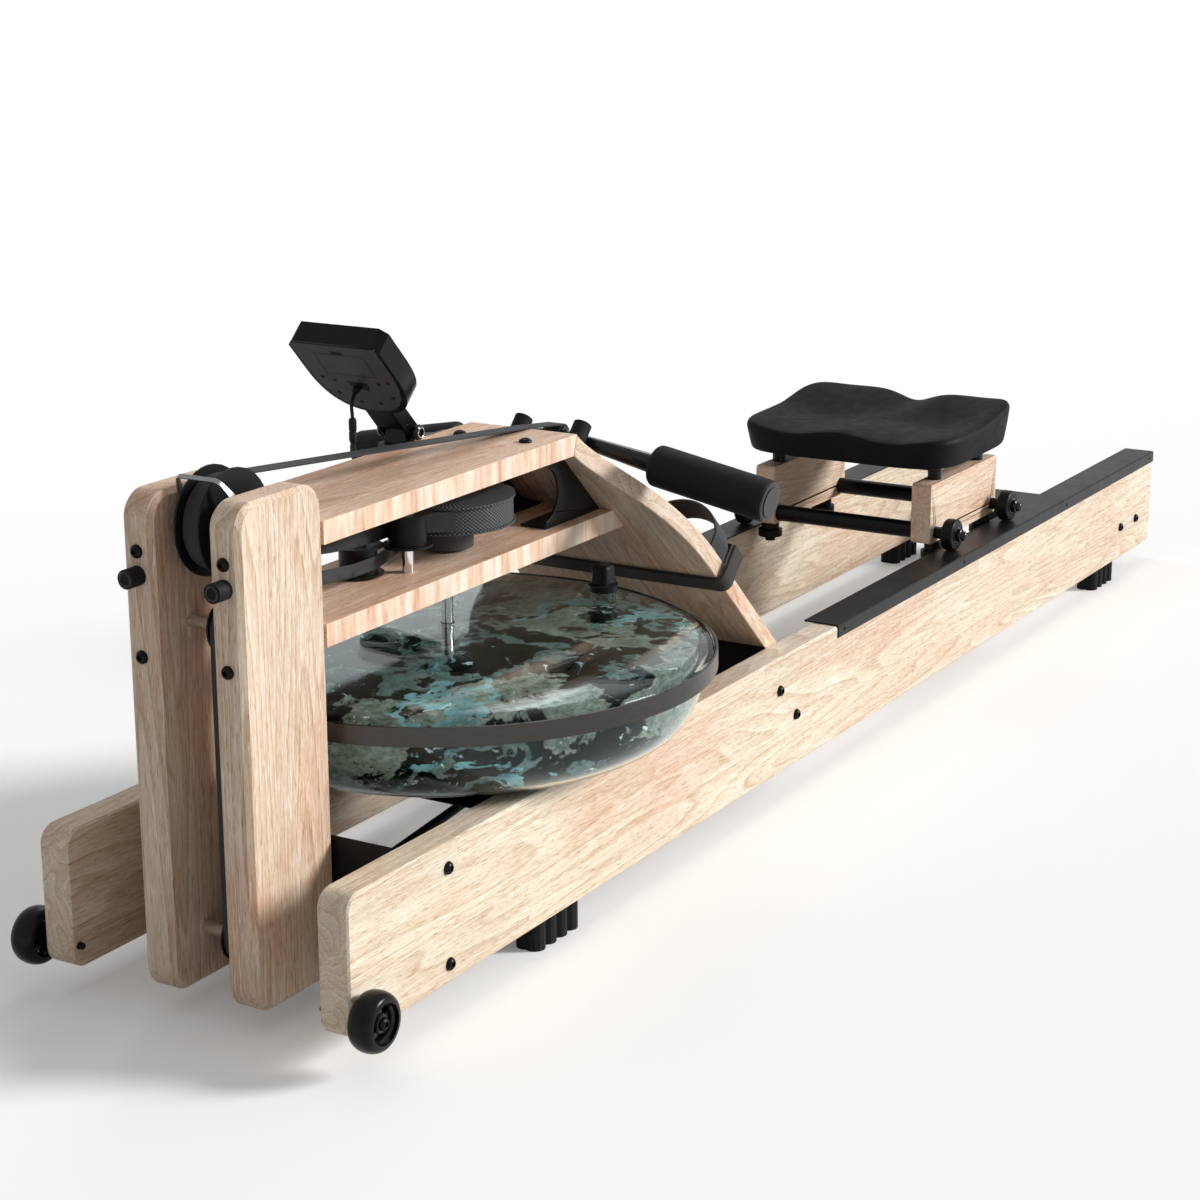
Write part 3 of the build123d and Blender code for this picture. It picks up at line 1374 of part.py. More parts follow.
with BuildPart() as monitor_case:
    # the outline: straight top and sides, and one big curve at the bottom
    with BuildSketch(monitor_plane):
        with BuildLine():
            Polyline(
                (-monitor_half, -monitor_shoulder),
                (-monitor_half, -monitor_corner),
                (-monitor_half + monitor_corner, 0),
                (monitor_half - monitor_corner, 0),
                (monitor_half, -monitor_corner),
                (monitor_half, -monitor_shoulder),
            )
            Bezier(
                (monitor_half, -monitor_shoulder),
                (monitor_half, -monitor_height * 0.86),
                (monitor_half * 0.6, -monitor_height),
                (0, -monitor_height),
            )
            Bezier(
                (0, -monitor_height),
                (-monitor_half * 0.6, -monitor_height),
                (-monitor_half, -monitor_height * 0.86),
                (-monitor_half, -monitor_shoulder),
            )
        make_face()
    extrude(amount=-monitor_thickness)
    # the screen's recess in the face
    with BuildSketch(monitor_plane):
        with Locations((0, -monitor_height * 0.36)):
            RectangleRounded(screen_width, screen_height, 4.0)
    extrude(amount=-screen_recess - screen_thickness, mode=Mode.SUBTRACT)
    # wells for the buttons below the screen
    with BuildSketch(monitor_plane):
        with Locations(*button_places):
            Circle(button_radius + button_clearance)
    extrude(amount=-button_well, mode=Mode.SUBTRACT)
    # the bracket: two ears under the back with the pivot between them
    for side in (-1, 1):
        with BuildSketch(side_plane(monitor_y + side * bracket_half)):
            with BuildLine():
                Polyline(
                    *[(corner.X, corner.Z) for corner in ear_corners],
                    close=True,
                )
            make_face()
            with Locations(monitor_pivot):
                Circle(monitor_ear)
        extrude(amount=side * bracket_thickness)
        with BuildSketch(side_plane(monitor_y + side * bracket_half)):
            with Locations(monitor_pivot):
                Circle(pivot_bolt_radius + running_clearance)
        extrude(amount=side * bracket_thickness, mode=Mode.SUBTRACT)
save(monitor_case.part, "monitor_case")

with BuildPart() as monitor_screen:
    with BuildSketch(monitor_plane.offset(-screen_recess)):
        with Locations((0, -monitor_height * 0.36)):
            RectangleRounded(screen_width - 0.02, screen_height - 0.02, 4.0)
    extrude(amount=-screen_thickness)
save(monitor_screen.part, "monitor_screen")

for name, place in zip(("left_button", "middle_button", "right_button"), button_places):
    with BuildPart() as button:
        with BuildSketch(monitor_plane.offset(button_height)):
            with Locations(place):
                Circle(button_radius)
        extrude(amount=-button_height - button_well + button_travel)
    save(button.part, name)

with BuildPart() as monitor_arm:
    # the plate on the upper deck's top, with a flange down its far side face
    with BuildSketch(Plane.XY.offset(upper_deck_top_z - arm_drop)):
        with BuildLine():
            Polyline(
                (front_x + 432.0, upright_outer_y),
                (front_x + 525.0, upright_outer_y),
                (front_x + 499.0, monitor_y + bracket_half),
                (front_x + 445.0, monitor_y + bracket_half),
                close=True,
            )
        make_face()
    extrude(amount=-arm_thickness)
    with BuildSketch(side_plane(upright_outer_y)):
        with Locations((front_x + 478.5, upper_deck_top_z - 11.0)):
            Rectangle(93.0, 22.0)
    extrude(amount=-arm_thickness)
    # the stalk that rises to the pivot
    with BuildSketch(side_plane(monitor_y - arm_half)):
        with BuildLine():
            Polyline(
                (monitor_pivot_x - 9.0, monitor_pivot_z),
                (monitor_pivot_x - 12.0, upper_deck_top_z - arm_drop - arm_thickness),
                (monitor_pivot_x + 12.0, upper_deck_top_z - arm_drop - arm_thickness),
                (monitor_pivot_x + 9.0, monitor_pivot_z),
                close=True,
            )
        make_face()
        with Locations(monitor_pivot):
            Circle(9.0)
    extrude(amount=-2 * arm_half)
    # the pivot bolt, its head and its nut
    with BuildSketch(side_plane(monitor_y - bracket_half - 3.0)):
        with Locations(monitor_pivot):
            Circle(pivot_bolt_radius)
    extrude(amount=-bracket_width - 6.0)
    for side in (-1, 1):
        with BuildSketch(side_plane(monitor_y + side * (bracket_half + 0.3))):
            with Locations(monitor_pivot):
                Circle(7.0)
        extrude(amount=-side * 5.0)
save(monitor_arm.part, "monitor_arm")

# ---------------------------------------------------------------- monitor cable
cable_points = (
    (front_x + 394.3, monitor_y + 5.6, 522.9),
    (front_x + 376.0, monitor_y, 514.0),
    (front_x + 373.5, monitor_y - 4.0, 499.0),
    (front_x + 372.5, monitor_y - 4.0, 472.0),
    (front_x + 372.0, upright_outer_y + 4.0, 452.0),
    (front_x + 376.0, upright_outer_y + 2.0, 434.0),
    (front_x + 392.0, upright_outer_y - 14.0, 433.0),
)
with BuildPart() as monitor_cable:
    with BuildLine() as cable_path:
        Polyline(*cable_points)
    with BuildSketch(Plane(origin=cable_path.line @ 0, z_dir=cable_path.line % 0)):
        RegularPolygon(cable_radius, 8)
    sweep(path=cable_path.line, transition=Transition.RIGHT)
    with BuildSketch(Plane.XY.offset(473.0)):
        with Locations((front_x + 373.0, monitor_y - 4.0)):
            Circle(connector_radius)
    extrude(amount=connector_length)
save(monitor_cable.part, "monitor_cable")
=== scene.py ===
"""Looks for the rowing machine: materials, soft pieces, straps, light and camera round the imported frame."""
import math

import bpy
import bmesh
from mathutils import Matrix, Vector


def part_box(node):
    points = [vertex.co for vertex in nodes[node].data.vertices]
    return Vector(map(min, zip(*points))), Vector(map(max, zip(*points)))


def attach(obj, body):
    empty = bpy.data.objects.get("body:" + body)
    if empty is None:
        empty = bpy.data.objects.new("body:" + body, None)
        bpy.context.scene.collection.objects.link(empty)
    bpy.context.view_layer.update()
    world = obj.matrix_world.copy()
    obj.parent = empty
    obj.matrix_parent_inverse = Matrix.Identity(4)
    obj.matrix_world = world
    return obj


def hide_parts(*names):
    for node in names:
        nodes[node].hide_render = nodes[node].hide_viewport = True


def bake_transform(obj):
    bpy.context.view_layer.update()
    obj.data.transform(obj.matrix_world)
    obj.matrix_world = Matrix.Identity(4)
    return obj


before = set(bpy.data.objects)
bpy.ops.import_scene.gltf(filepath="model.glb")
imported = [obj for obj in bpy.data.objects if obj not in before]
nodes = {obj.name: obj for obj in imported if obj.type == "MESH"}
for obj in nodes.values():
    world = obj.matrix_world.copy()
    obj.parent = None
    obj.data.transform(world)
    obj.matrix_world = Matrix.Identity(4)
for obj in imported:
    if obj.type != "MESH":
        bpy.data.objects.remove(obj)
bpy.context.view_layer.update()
scene = bpy.context.scene

WHITE = (1, 1, 1, 1)


def grey(value):
    return (value, value, value)


def scaled_colour(colour, share):
    return tuple(c * share for c in colour)


# -------------------- node helpers
class Nodes:
    """A small builder for a node tree. Its values are numbers, colours or other nodes' outputs."""

    def __init__(self, tree):
        self.tree = tree
        self.tree.nodes.clear()

    def add(self, kind, **values):
        node = self.tree.nodes.new("ShaderNode" + kind)
        for key, value in values.items():
            setattr(node, key, value)
        return node

    def feed(self, node, **values):
        """Sets or links the node's inputs by name, with _ for a space, or by number, as in _0."""
        for key, value in values.items():
            name = int(key[1:]) if key[1:].isdigit() else key.replace("_", " ")
            if isinstance(value, bpy.types.NodeSocket):
                self.tree.links.new(value, node.inputs[name])
            else:
                node.inputs[name].default_value = value
        return node

    def ramp(self, source, stops):
        node = self.feed(self.add("ValToRGB"), Fac=source)
        while len(node.color_ramp.elements) < len(stops):
            node.color_ramp.elements.new(0.5)
        for element, (position, colour) in zip(node.color_ramp.elements, stops):
            element.position = position
            element.color = (*colour, 1)
        return node.outputs["Color"]

    def mix(self, factor, first, second, blend="MIX"):
        node = self.add("Mix", data_type="RGBA", blend_type=blend)
        return self.feed(node, _0=factor, _6=first, _7=second).outputs[2]

    def math(self, operation, first, second=0.5):
        return self.feed(self.add("Math", operation=operation), _0=first, _1=second).outputs["Value"]


class Shader(Nodes):
    """A material with a Principled shader."""

    def __init__(self, name):
        self.material = bpy.data.materials.new(name)
        self.material.use_nodes = True
        super().__init__(self.material.node_tree)
        self.bsdf = self.add("BsdfPrincipled")
        self.feed(self.add("OutputMaterial"), Surface=self.bsdf.outputs["BSDF"])

    def set(self, **values):
        self.feed(self.bsdf, **values)

    def coords(self, scale=(1, 1, 1), rotation=(0, 0, 0), location=(0, 0, 0)):
        place = self.add("TexCoord").outputs["Object"]
        mapping = self.feed(self.add("Mapping"), Vector=place, Scale=scale, Rotation=rotation, Location=location)
        return mapping.outputs["Vector"]

    def split(self, vector):
        return self.feed(self.add("SeparateXYZ"), Vector=vector).outputs

    def stretch(self, vector, factors):
        return self.feed(self.add("VectorMath", operation="MULTIPLY"), _0=vector, _1=factors).outputs["Vector"]

    def shift(self, vector, by, reach):
        """The vector moved by another one, times reach."""
        node = self.add("VectorMath", operation="MULTIPLY_ADD")
        return self.feed(node, _0=by, _1=grey(reach), _2=vector).outputs["Vector"]

    def noise(self, vector, scale, detail=4.0, roughness=0.55, distortion=0.0, out="Fac"):
        node = self.feed(self.add("TexNoise"), Vector=vector, Scale=scale, Detail=detail)
        return self.feed(node, Roughness=roughness, Distortion=distortion).outputs[out]

    def bump(self, height, strength, distance):
        node = self.feed(self.add("Bump"), Strength=strength, Distance=distance, Height=height)
        self.set(Normal=node.outputs["Normal"])


def give(material, *names):
    """Puts the material on these CAD nodes."""
    for name in names:
        nodes[name].data.materials.clear()
        nodes[name].data.materials.append(material)


# -------------------- materials
BOARD_LEAN = 42.8  # the footboard's slope, in degrees
TURNS = {
    "x": (0, 0, 0),
    "z": (0, math.radians(90), 0),
    "board": (0, math.radians(-BOARD_LEAN), 0),
}
WOOD_TONES = ((0.25, (0.72, 0.50, 0.355)), (0.5, (0.81, 0.60, 0.45)), (0.75, (0.88, 0.70, 0.56)))
ROSY, LIME = (0.74, 0.37, 0.23, 1), (0.93, 0.86, 0.77, 1)
BEAM_TONE, UPRIGHT_TONE = (1.03, 1.24, 1.33), (1.0, 1.12, 1.18)
STAGGER = 0.371  # how far each stave's joints lie along from the last one's
RING_COUNT = 24.0


def timber(
    name, grain, stave, offset=(0, 0, 0), warm=0.5, tone=(1, 1, 1), ringing=0.6, board=0.62, edge_streaks=False,
):
    """Pale limed oak: boards glued edge to edge, growth rings, pores and lime along the grain, rosy patches."""
    s = Shader(name)
    place = s.coords(rotation=TURNS[grain], location=offset)
    x, y, z = s.split(place)

    # each board has its own piece of the figure
    column = s.math("FLOOR", s.math("DIVIDE", s.math("ADD", y, z), stave))
    run = s.math("ADD", x, s.math("MULTIPLY", column, STAGGER))
    row = s.math("FLOOR", s.math("DIVIDE", run, board))
    cell = s.feed(s.add("CombineXYZ"), X=column, Y=row).outputs["Vector"]
    dice = s.feed(s.add("TexWhiteNoise", noise_dimensions="3D"), Vector=cell).outputs
    own = s.shift(place, dice["Color"], 2.0)

    figure = s.noise(s.stretch(own, (1, 11, 11)), 3.2, 5.0, 0.6, 1.2)
    streak = s.noise(s.stretch(own, (1, 24, 24)), 22.0, 6.0, 0.7, 0.3)
    pores = s.noise(s.stretch(own, (1, 20, 20)), 75.0, 2.0, 0.5)
    lime = s.noise(s.stretch(own, (1, 26, 26)), 34.0, 3.0, 0.65, 0.2)
    growth = s.noise(s.stretch(own, (0.36, 5.6, 5.6)), 2.2, 2.0, 0.35, 0.15)
    rings = s.math("FRACT", s.math("MULTIPLY", growth, RING_COUNT))
    patches = s.noise(s.stretch(place, (1, 3.2, 3.2)), 3.4, 4.0, 0.6, 0.5)

    shown = s.ramp(figure, [(at, tuple(c * t for c, t in zip(colour, tone))) for at, colour in WOOD_TONES])
    shown = s.mix(s.ramp(patches, [(0.46, grey(0)), (0.66, grey(warm))]), shown, ROSY)
    grain_tone = s.ramp(streak, [(0.32, (0.72, 0.62, 0.54)), (0.60, grey(1))])
    shown = s.mix(0.62, shown, grain_tone, "MULTIPLY")
    ring_tone = s.ramp(rings, [
        (0.0, (1.12, 1.14, 1.16)), (0.10, (0.74, 0.59, 0.49)), (0.32, (0.92, 0.86, 0.81)), (0.78, grey(1)),
        (1.0, (1.12, 1.14, 1.16)),
    ])
    shown = s.mix(ringing, shown, ring_tone, "MULTIPLY")
    pore_tone = s.ramp(pores, [(0.34, (0.60, 0.46, 0.36)), (0.42, grey(1))])
    shown = s.mix(0.90, shown, pore_tone, "MULTIPLY")
    stave_tone = s.ramp(dice["Value"], [(0.0, (0.90, 0.87, 0.84)), (0.5, (1, 0.99, 0.98)), (1.0, (1.0, 0.965, 0.92))])
    shown = s.mix(0.8, shown, stave_tone, "MULTIPLY")
    shown = s.mix(s.ramp(lime, [(0.56, grey(0)), (0.63, grey(0.55)), (0.72, grey(0.8))]), shown, LIME)
    if edge_streaks:
        bars = s.ramp(s.noise(s.stretch(place, (1.0, 0.15, 0.10)), 75.0, 5.0, 0.65, 0.4), [
            (0.34, (0.66, 0.36, 0.24)), (0.46, (0.84, 0.58, 0.42)), (0.56, (0.92, 0.76, 0.61)),
            (0.70, (0.95, 0.86, 0.75)),
        ])
        side_on = s.math("ABSOLUTE", s.split(s.add("TexCoord").outputs["Normal"])["Y"])
        shown = s.mix(s.ramp(side_on, [(0.55, grey(0)), (0.85, grey(0.85))]), shown, bars)
    s.set(Base_Color=shown, Roughness=s.ramp(streak, [(0.3, grey(0.62)), (0.7, grey(0.46))]), Specular_IOR_Level=0.4)
    s.bump(s.mix(0.5, pore_tone, grain_tone), 0.30, 0.0004)
    return s.material


def coated(name, colour, roughness, speckle=900.0, strength=0.08, coat=0.0, metallic=0.0, shine=0.15):
    """Paint, moulded plastic or rubber: a fine surface texture and slight tone changes."""
    s = Shader(name)
    place = s.coords()
    tint = s.ramp(s.noise(place, 14.0, 3.0), [
        (0.3, scaled_colour(colour, 0.86)), (0.7, tuple(min(1.0, c * 1.12 + 0.001) for c in colour)),
    ])
    smudge = s.ramp(s.noise(place, 38.0, 5.0, 0.65), [
        (0.3, grey(roughness * 0.88)), (0.75, grey(min(1.0, roughness * 1.14))),
    ])
    s.set(Base_Color=tint, Roughness=smudge, Metallic=metallic, Specular_IOR_Level=shine)
    s.bump(s.noise(place, speckle, 2.0), strength, 0.0003)
    if coat:
        s.set(Coat_Weight=coat, Coat_Roughness=0.12)
    return s.material


def webbing(
    name, pitch=0.0016, centre=(0, 0, 0), radius=0.0, dark=(0.010, 0.010, 0.011), light=(0.055, 0.055, 0.058),
):
    """Woven strap: a basket weave of dark and grey yarn, wrapped round an upright axis if a radius is given."""
    s = Shader(name)
    x, y, z = s.split(s.coords(location=tuple(-c for c in centre)))
    if radius:
        along, up = s.math("MULTIPLY", s.math("ARCTAN2", y, x), radius), z
    else:
        along, up = s.math("ADD", x, z), y
    plus, minus = (
        s.math("SINE", s.math("MULTIPLY", s.math(kind, along, up), math.pi / pitch)) for kind in ("ADD", "SUBTRACT")
    )
    weave = s.math("ABSOLUTE", s.math("MULTIPLY", plus, minus))
    s.set(Base_Color=s.ramp(weave, [(0.05, dark), (0.6, light)]), Roughness=0.6, Specular_IOR_Level=0.3)
    s.bump(weave, 0.6, 0.0005)
    return s.material


def metal(name, colour, roughness, stretch=(1, 1, 1), scale=220.0):
    """Polished or brushed metal with fine lines."""
    s = Shader(name)
    lines = s.noise(s.coords(scale=stretch), scale, 4.0, 0.6)
    tint = s.ramp(lines, [(0.3, scaled_colour(colour, 0.86)), (0.7, colour)])
    tone = s.ramp(lines, [(0.3, grey(roughness * 0.8)), (0.7, grey(roughness * 1.25))])
    s.set(Base_Color=tint, Roughness=tone, Metallic=1.0)
    s.bump(lines, 0.04, 0.0002)
    return s.material


def clear(name, bend=1.2):
    """Clear moulded plastic that lets light through to the water."""
    s = Shader(name)
    place = s.coords()
    tone = s.ramp(s.noise(place, 9.0, 3.0), [(0.35, grey(0.0)), (0.7, grey(0.006))])
    s.set(Base_Color=(0.84, 0.92, 0.92, 1), Roughness=tone, Transmission_Weight=1.0, IOR=bend, Specular_IOR_Level=0.8)
    s.bump(s.noise(place, 5.0, 2.0), 0.02, 0.003)
    return s.material


def water(name):
    """Stirred water: large broken patches of dark, olive and teal, with fine torn edges, and near-white specks
    painted on as glints.
    """
    s = Shader(name)
    place = s.coords(scale=(1, 1, 1.6))
    bend = s.shift(place, s.noise(place, 6.0, 4.0, 0.55, 0.3, out="Color"), 0.10)
    patches = s.ramp(s.noise(bend, 5.4, 12.0, 0.60, 0.35), [
        (0.395, (0.004, 0.006, 0.007)),
        (0.400, (0.26, 0.29, 0.24)),
        (0.478, (0.36, 0.39, 0.32)),
        (0.482, (0.005, 0.007, 0.008)),
        (0.545, (0.004, 0.006, 0.007)),
        (0.549, (0.15, 0.26, 0.27)),
        (0.590, (0.24, 0.30, 0.27)),
        (0.594, (0.005, 0.008, 0.009)),
    ])
    mottle = s.ramp(s.noise(place, 90.0, 9.0, 0.78), [(0.42, grey(0.25)), (0.58, grey(1.1))])
    shown = s.mix(0.75, patches, mottle, "MULTIPLY")
    islets = s.ramp(s.noise(bend, 4.6, 11.0, 0.62, 0.5), [
        (0.585, grey(0)), (0.589, grey(1)), (0.622, grey(1)), (0.626, grey(0)),
    ])
    teal = s.ramp(s.noise(place, 24.0, 6.0, 0.65), [(0.38, (0.11, 0.25, 0.27)), (0.62, (0.36, 0.66, 0.68))])
    shown = s.mix(islets, shown, teal)
    # painted highlight: near-white specks painted into the water's colour as glints
    painted_glint = s.ramp(s.noise(bend, 30.0, 9.0, 0.72, 1.5), [(0.625, grey(0)), (0.632, grey(1))])
    s.set(Base_Color=s.mix(painted_glint, shown, (0.80, 0.90, 0.90, 1)), Roughness=0.05, Specular_IOR_Level=0.3)
    s.bump(s.noise(place, 16.0, 4.0, 0.55, 0.6), 0.30, 0.004)
    return s.material


def leather(name):
    """Soft seat cover with a fine grain."""
    s = Shader(name)
    place = s.coords()
    cells = s.feed(s.add("TexVoronoi", feature="DISTANCE_TO_EDGE"), Vector=place, Scale=900.0)
    tint = s.ramp(s.noise(place, 20.0), [(0.3, (0.006, 0.006, 0.0065)), (0.7, (0.010, 0.010, 0.0105))])
    tone = s.ramp(s.noise(place, 60.0), [(0.3, grey(0.5)), (0.7, grey(0.66))])
    s.set(Base_Color=tint, Roughness=tone, Specular_IOR_Level=0.09)
    s.bump(cells.outputs["Distance"], 0.25, 0.0004)
    return s.material


oak_beam = timber("oak_beam", "x", 0.048, warm=0.34, tone=BEAM_TONE)
oak_far = timber("oak_far", "x", 0.052, (0.37, 0.11, 0.05), warm=0.42, tone=BEAM_TONE)
oak_upright = timber(
    "oak_upright", "z", 0.125, (2.5, 0.2, 0.0), warm=0.55, tone=UPRIGHT_TONE, ringing=0.75, board=5.0,
)
oak_deck = timber("oak_deck", "x", 0.06, (0.7, 0.03, 0.4), edge_streaks=True)
oak_board = timber("oak_board", "board", 0.07, (0.2, 0.5, 0.1), tone=UPRIGHT_TONE)
oak_block = timber("oak_block", "x", 0.05, (0.9, 0.3, 0.2), warm=0.35, tone=UPRIGHT_TONE)
black_paint = coated("black_paint", (0.008, 0.008, 0.0085), 0.36, speckle=1500.0, strength=0.05, coat=0.06)
bolt_black = coated("bolt_black", (0.008, 0.008, 0.0085), 0.30, speckle=2000.0, strength=0.05, metallic=0.3)
black_plastic = coated("black_plastic", (0.007, 0.007, 0.0075), 0.40, speckle=1100.0, strength=0.10)
soft_rubber = coated("soft_rubber", (0.010, 0.010, 0.0105), 0.70, speckle=800.0, strength=0.14)
grip_foam = coated("grip_foam", (0.012, 0.012, 0.0125), 0.60, speckle=1600.0, strength=0.22)
tyre_rubber = coated("tyre_rubber", (0.006, 0.006, 0.0065), 0.24, strength=0.03)
arm_gloss = coated("arm_gloss", (0.010, 0.010, 0.011), 0.16, speckle=300.0, strength=0.02, coat=0.3)
grip_end = coated("grip_end", (0.058, 0.058, 0.057), 0.5, speckle=1400.0, strength=0.12)
flat_grey = coated("flat_grey", (0.036, 0.034, 0.032), 0.42, speckle=1600.0, strength=0.05)
case_gloss = coated("case_gloss", (0.0035, 0.0035, 0.0038), 0.20, speckle=1400.0, strength=0.03, shine=0.12)
# painted light: the monitor back's matte plastic gets a lighter grey than the black case, for the light the back
# catches
case_back_painted_lit = coated("case_back_painted_lit", (0.054, 0.054, 0.055), 0.44, speckle=1500.0)
# near black for the door's seams, and painted shade for the latch slot, cable recess, screw holes and the pegs'
# hollow ends
seam_dark_and_painted_shade = coated("seam_dark_and_painted_shade", (0.003, 0.003, 0.003), 0.6)
keypad = coated("keypad", (0.05, 0.05, 0.055), 0.55)
cable_skin = coated("cable_skin", (0.015, 0.015, 0.016), 0.5)
wheel_gloss = coated("wheel_gloss", (0.007, 0.007, 0.0075), 0.20, speckle=400.0, strength=0.02, coat=0.25)
steel_dull = metal("steel_dull", (0.30, 0.30, 0.31), 0.30)
steel_bright = metal("steel_bright", (0.80, 0.80, 0.81), 0.10, stretch=(1, 1, 0.2))
band_steel = metal("band_steel", (0.075, 0.070, 0.066), 0.30, stretch=(1, 1, 8.0), scale=60.0)
clear_shell = clear("clear_shell")
clear_neck = clear("clear_neck", 1.07)
tank_liquid = water("tank_liquid")
seat_cover = leather("seat_cover")
strap_weave = webbing("strap_weave")


def centre_of(node):
    low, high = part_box(node)
    return (low + high) / 2


spool_mid = centre_of("strap_spool")
wound_weave = webbing(
    "wound_weave", 0.0036, (spool_mid.x, spool_mid.y, 0), 0.055, (0.003, 0.003, 0.003), (0.115, 0.115, 0.12),
)

give(oak_beam, "left_beam")
give(oak_far, "right_beam")
give(oak_upright, "left_upright", "right_upright")
give(oak_deck, "upper_deck", "lower_deck")
give(oak_board, "footboard")
give(oak_block, "carriage_blocks")
give(black_paint, "seat_rails", "front_cross_member", "middle_cross_member", "rear_cross_member",
     "gusset_brackets", "tank_cradle", "shaft_bearing", "monitor_arm", "seat_plate", "footrest_bar")
give(bolt_black, "frame_bolts", "carriage_axles")
give(steel_bright, "strap_keeper", "pulley_axles", "strap_guides", "impeller_shaft")
give(soft_rubber, "rubber_feet", "bumper_pegs", "handle_pegs")
give(grip_foam, "handle_grips")
give(arm_gloss, "handle_bar")
give(case_gloss, "monitor_case")
give(black_plastic, "front_pulley", "middle_pulley", "lower_pulley", "drive_guide_roller", "recoil_guide_roller",
     "tank_cap", "heel_rests", "impeller", "front_rollers", "rear_rollers",
     "guide_roller_front_left", "guide_roller_rear_left", "guide_roller_front_right", "guide_roller_rear_right")
give(wound_weave, "strap_spool")
give(tyre_rubber, "left_transport_wheel", "right_transport_wheel")
give(clear_shell, "tank_lower_shell", "tank_upper_shell")
give(tank_liquid, "tank_water")
give(band_steel, "tank_band")
give(seat_cover, "seat_pad")
give(strap_weave, "drive_strap", "recoil_strap", "foot_straps")
give(cable_skin, "monitor_cable")
give(keypad, "left_button", "middle_button", "right_button", "monitor_screen")


# -------------------- mesh helpers
UP = (0, 0, 1)
WELD = 0.00002


def on_circle(step, steps):
    return 2 * math.pi * step / steps


def in_scene(name, data):
    thing = bpy.data.objects.new(name, data)
    scene.collection.objects.link(thing)
    return thing


def new_piece(name, mesh, material, body):
    """An object for the mesh, riding on a body where one is named."""
    thing = in_scene(name, mesh)
    mesh.materials.clear()
    mesh.materials.append(material)
    if body:
        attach(thing, body)
    return thing


def piece(name, verts, faces, material, body, smooth=True, sharp=None):
    """A new mesh piece, smooth but for edges sharper than an angle in degrees."""
    mesh = bpy.data.meshes.new(name)
    mesh.from_pydata([tuple(v) for v in verts], [], faces)
    mesh.update()
    if smooth:
        mesh.polygons.foreach_set("use_smooth", [True] * len(mesh.polygons))
    if sharp:
        mesh.set_sharp_from_angle(angle=math.radians(sharp))
    return new_piece(name, mesh, material, body)


def loft(name, rings, material, body, closed=False, smooth=True, sharp=None):
    """A skin through rings of equal count: led back to the first ring if closed, otherwise capped at both ends."""
    count, rows = len(rings[0]), len(rings)
    faces = []
    for row in range(rows if closed else rows - 1):
        here, after = row * count, (row + 1) % rows * count
        for column in range(count):
            beside = (column + 1) % count
            faces.append((here + column, here + beside, after + beside, after + column))
    if not closed:
        faces.append(tuple(reversed(range(count))))
        faces.append(tuple(range((rows - 1) * count, rows * count)))
    return piece(name, [point for ring in rings for point in ring], faces, material, body, smooth, sharp)


def turned_rings(profile, origin, axis, steps, sides=0):
    """Rings round an axis, from (radius, height) points. With sides, each ring is a polygon and not a circle."""
    turn = Vector(axis).normalized().to_track_quat("Z", "Y").to_matrix()
    rings = []
    for radius, height in profile:
        ring = []
        for step in range(steps):
            angle, reach = on_circle(step, steps), radius
            if sides:
                half = math.pi / sides
                reach = radius * math.cos(half) / math.cos(angle % (2 * half) - half)
            ring.append(Vector(origin) + turn @ Vector((reach * math.cos(angle), reach * math.sin(angle), height)))
        rings.append(ring)
    return rings


def lathe(name, profile, origin, axis, material, body, steps=48, closed=False):
    """A turned piece: profile points are (radius, height along the axis) from the origin."""
    return loft(name, turned_rings(profile, origin, axis, steps), material, body, closed, sharp=32)


def socket_bolt(name, origin, axis, radius, height, material=bolt_black):
    """A button-head bolt on the frame, with a hexagonal socket in its domed head."""
    steps, rim, top = 24, 0.5 * radius, height * 0.97
    profile = [(radius * 0.96, -0.0002)]
    for step in range(7):
        turn = math.pi / 2 * step / 7
        point = (radius * math.cos(turn) ** 0.62, height * math.sin(turn))
        if point[0] > rim:
            profile.append(point)
    profile.append((rim, top))
    socket = [(rim * 0.94, top), (rim * 0.94, height * 0.45)]
    rings = turned_rings(profile, origin, axis, steps) + turned_rings(socket, origin, axis, steps, sides=6)
    return loft(name, rings, material, "frame", sharp=40)


def smooth_step(low, high, value):
    share = max(0.0, min(1.0, (value - low) / (high - low)))
    return share * share * (3 - 2 * share)


def curve_points(start, pull_a, pull_b, end, count):
    """Points along a Bezier curve, its end left out."""
    found = []
    for step in range(count):
        t = step / count
        k = ((1 - t) ** 3, 3 * t * (1 - t) ** 2, 3 * t * t * (1 - t), t ** 3)
        found.append(tuple(sum(k[i] * p[j] for i, p in enumerate((start, pull_a, pull_b, end))) for j in (0, 1)))
    return found


def bounds_of(points):
    """The lowest and highest corner of the points' box."""
    return [Vector([pick(point[axis] for point in points) for axis in range(3)]) for pick in (min, max)]


def islands(name):
    """The separate solids of a CAD node, each as its lowest and highest corner."""
    mesh = nodes[name].data
    spots, roots = {}, {}

    def root(key):
        while roots[key] != key:
            key = roots[key]
        return key

    for vertex in mesh.vertices:
        key = tuple(round(v, 5) for v in vertex.co)
        spots[vertex.index] = key
        roots.setdefault(key, key)
    for face in mesh.polygons:
        first = root(spots[face.vertices[0]])
        for index in face.vertices[1:]:
            other = root(spots[index])
            if other != first:
                roots[other] = first
    groups = {}
    for key in roots:
        groups.setdefault(root(key), []).append(Vector(key))
    return [bounds_of(group) for group in groups.values()]


# -------------------- rounded edges
def soften(thing, width, segments=3, angle=30):
    """Rounds the sharp edges of a piece or a CAD node as shown, without touching its mesh."""
    weld = thing.modifiers.new("weld", "WELD")
    weld.merge_threshold = WELD
    bevel = thing.modifiers.new("bevel", "BEVEL")
    bevel.width = width
    bevel.segments = segments
    bevel.limit_method = "ANGLE"
    bevel.angle_limit = math.radians(angle)
    normals = thing.modifiers.new("normals", "WEIGHTED_NORMAL")
    normals.keep_sharp = False


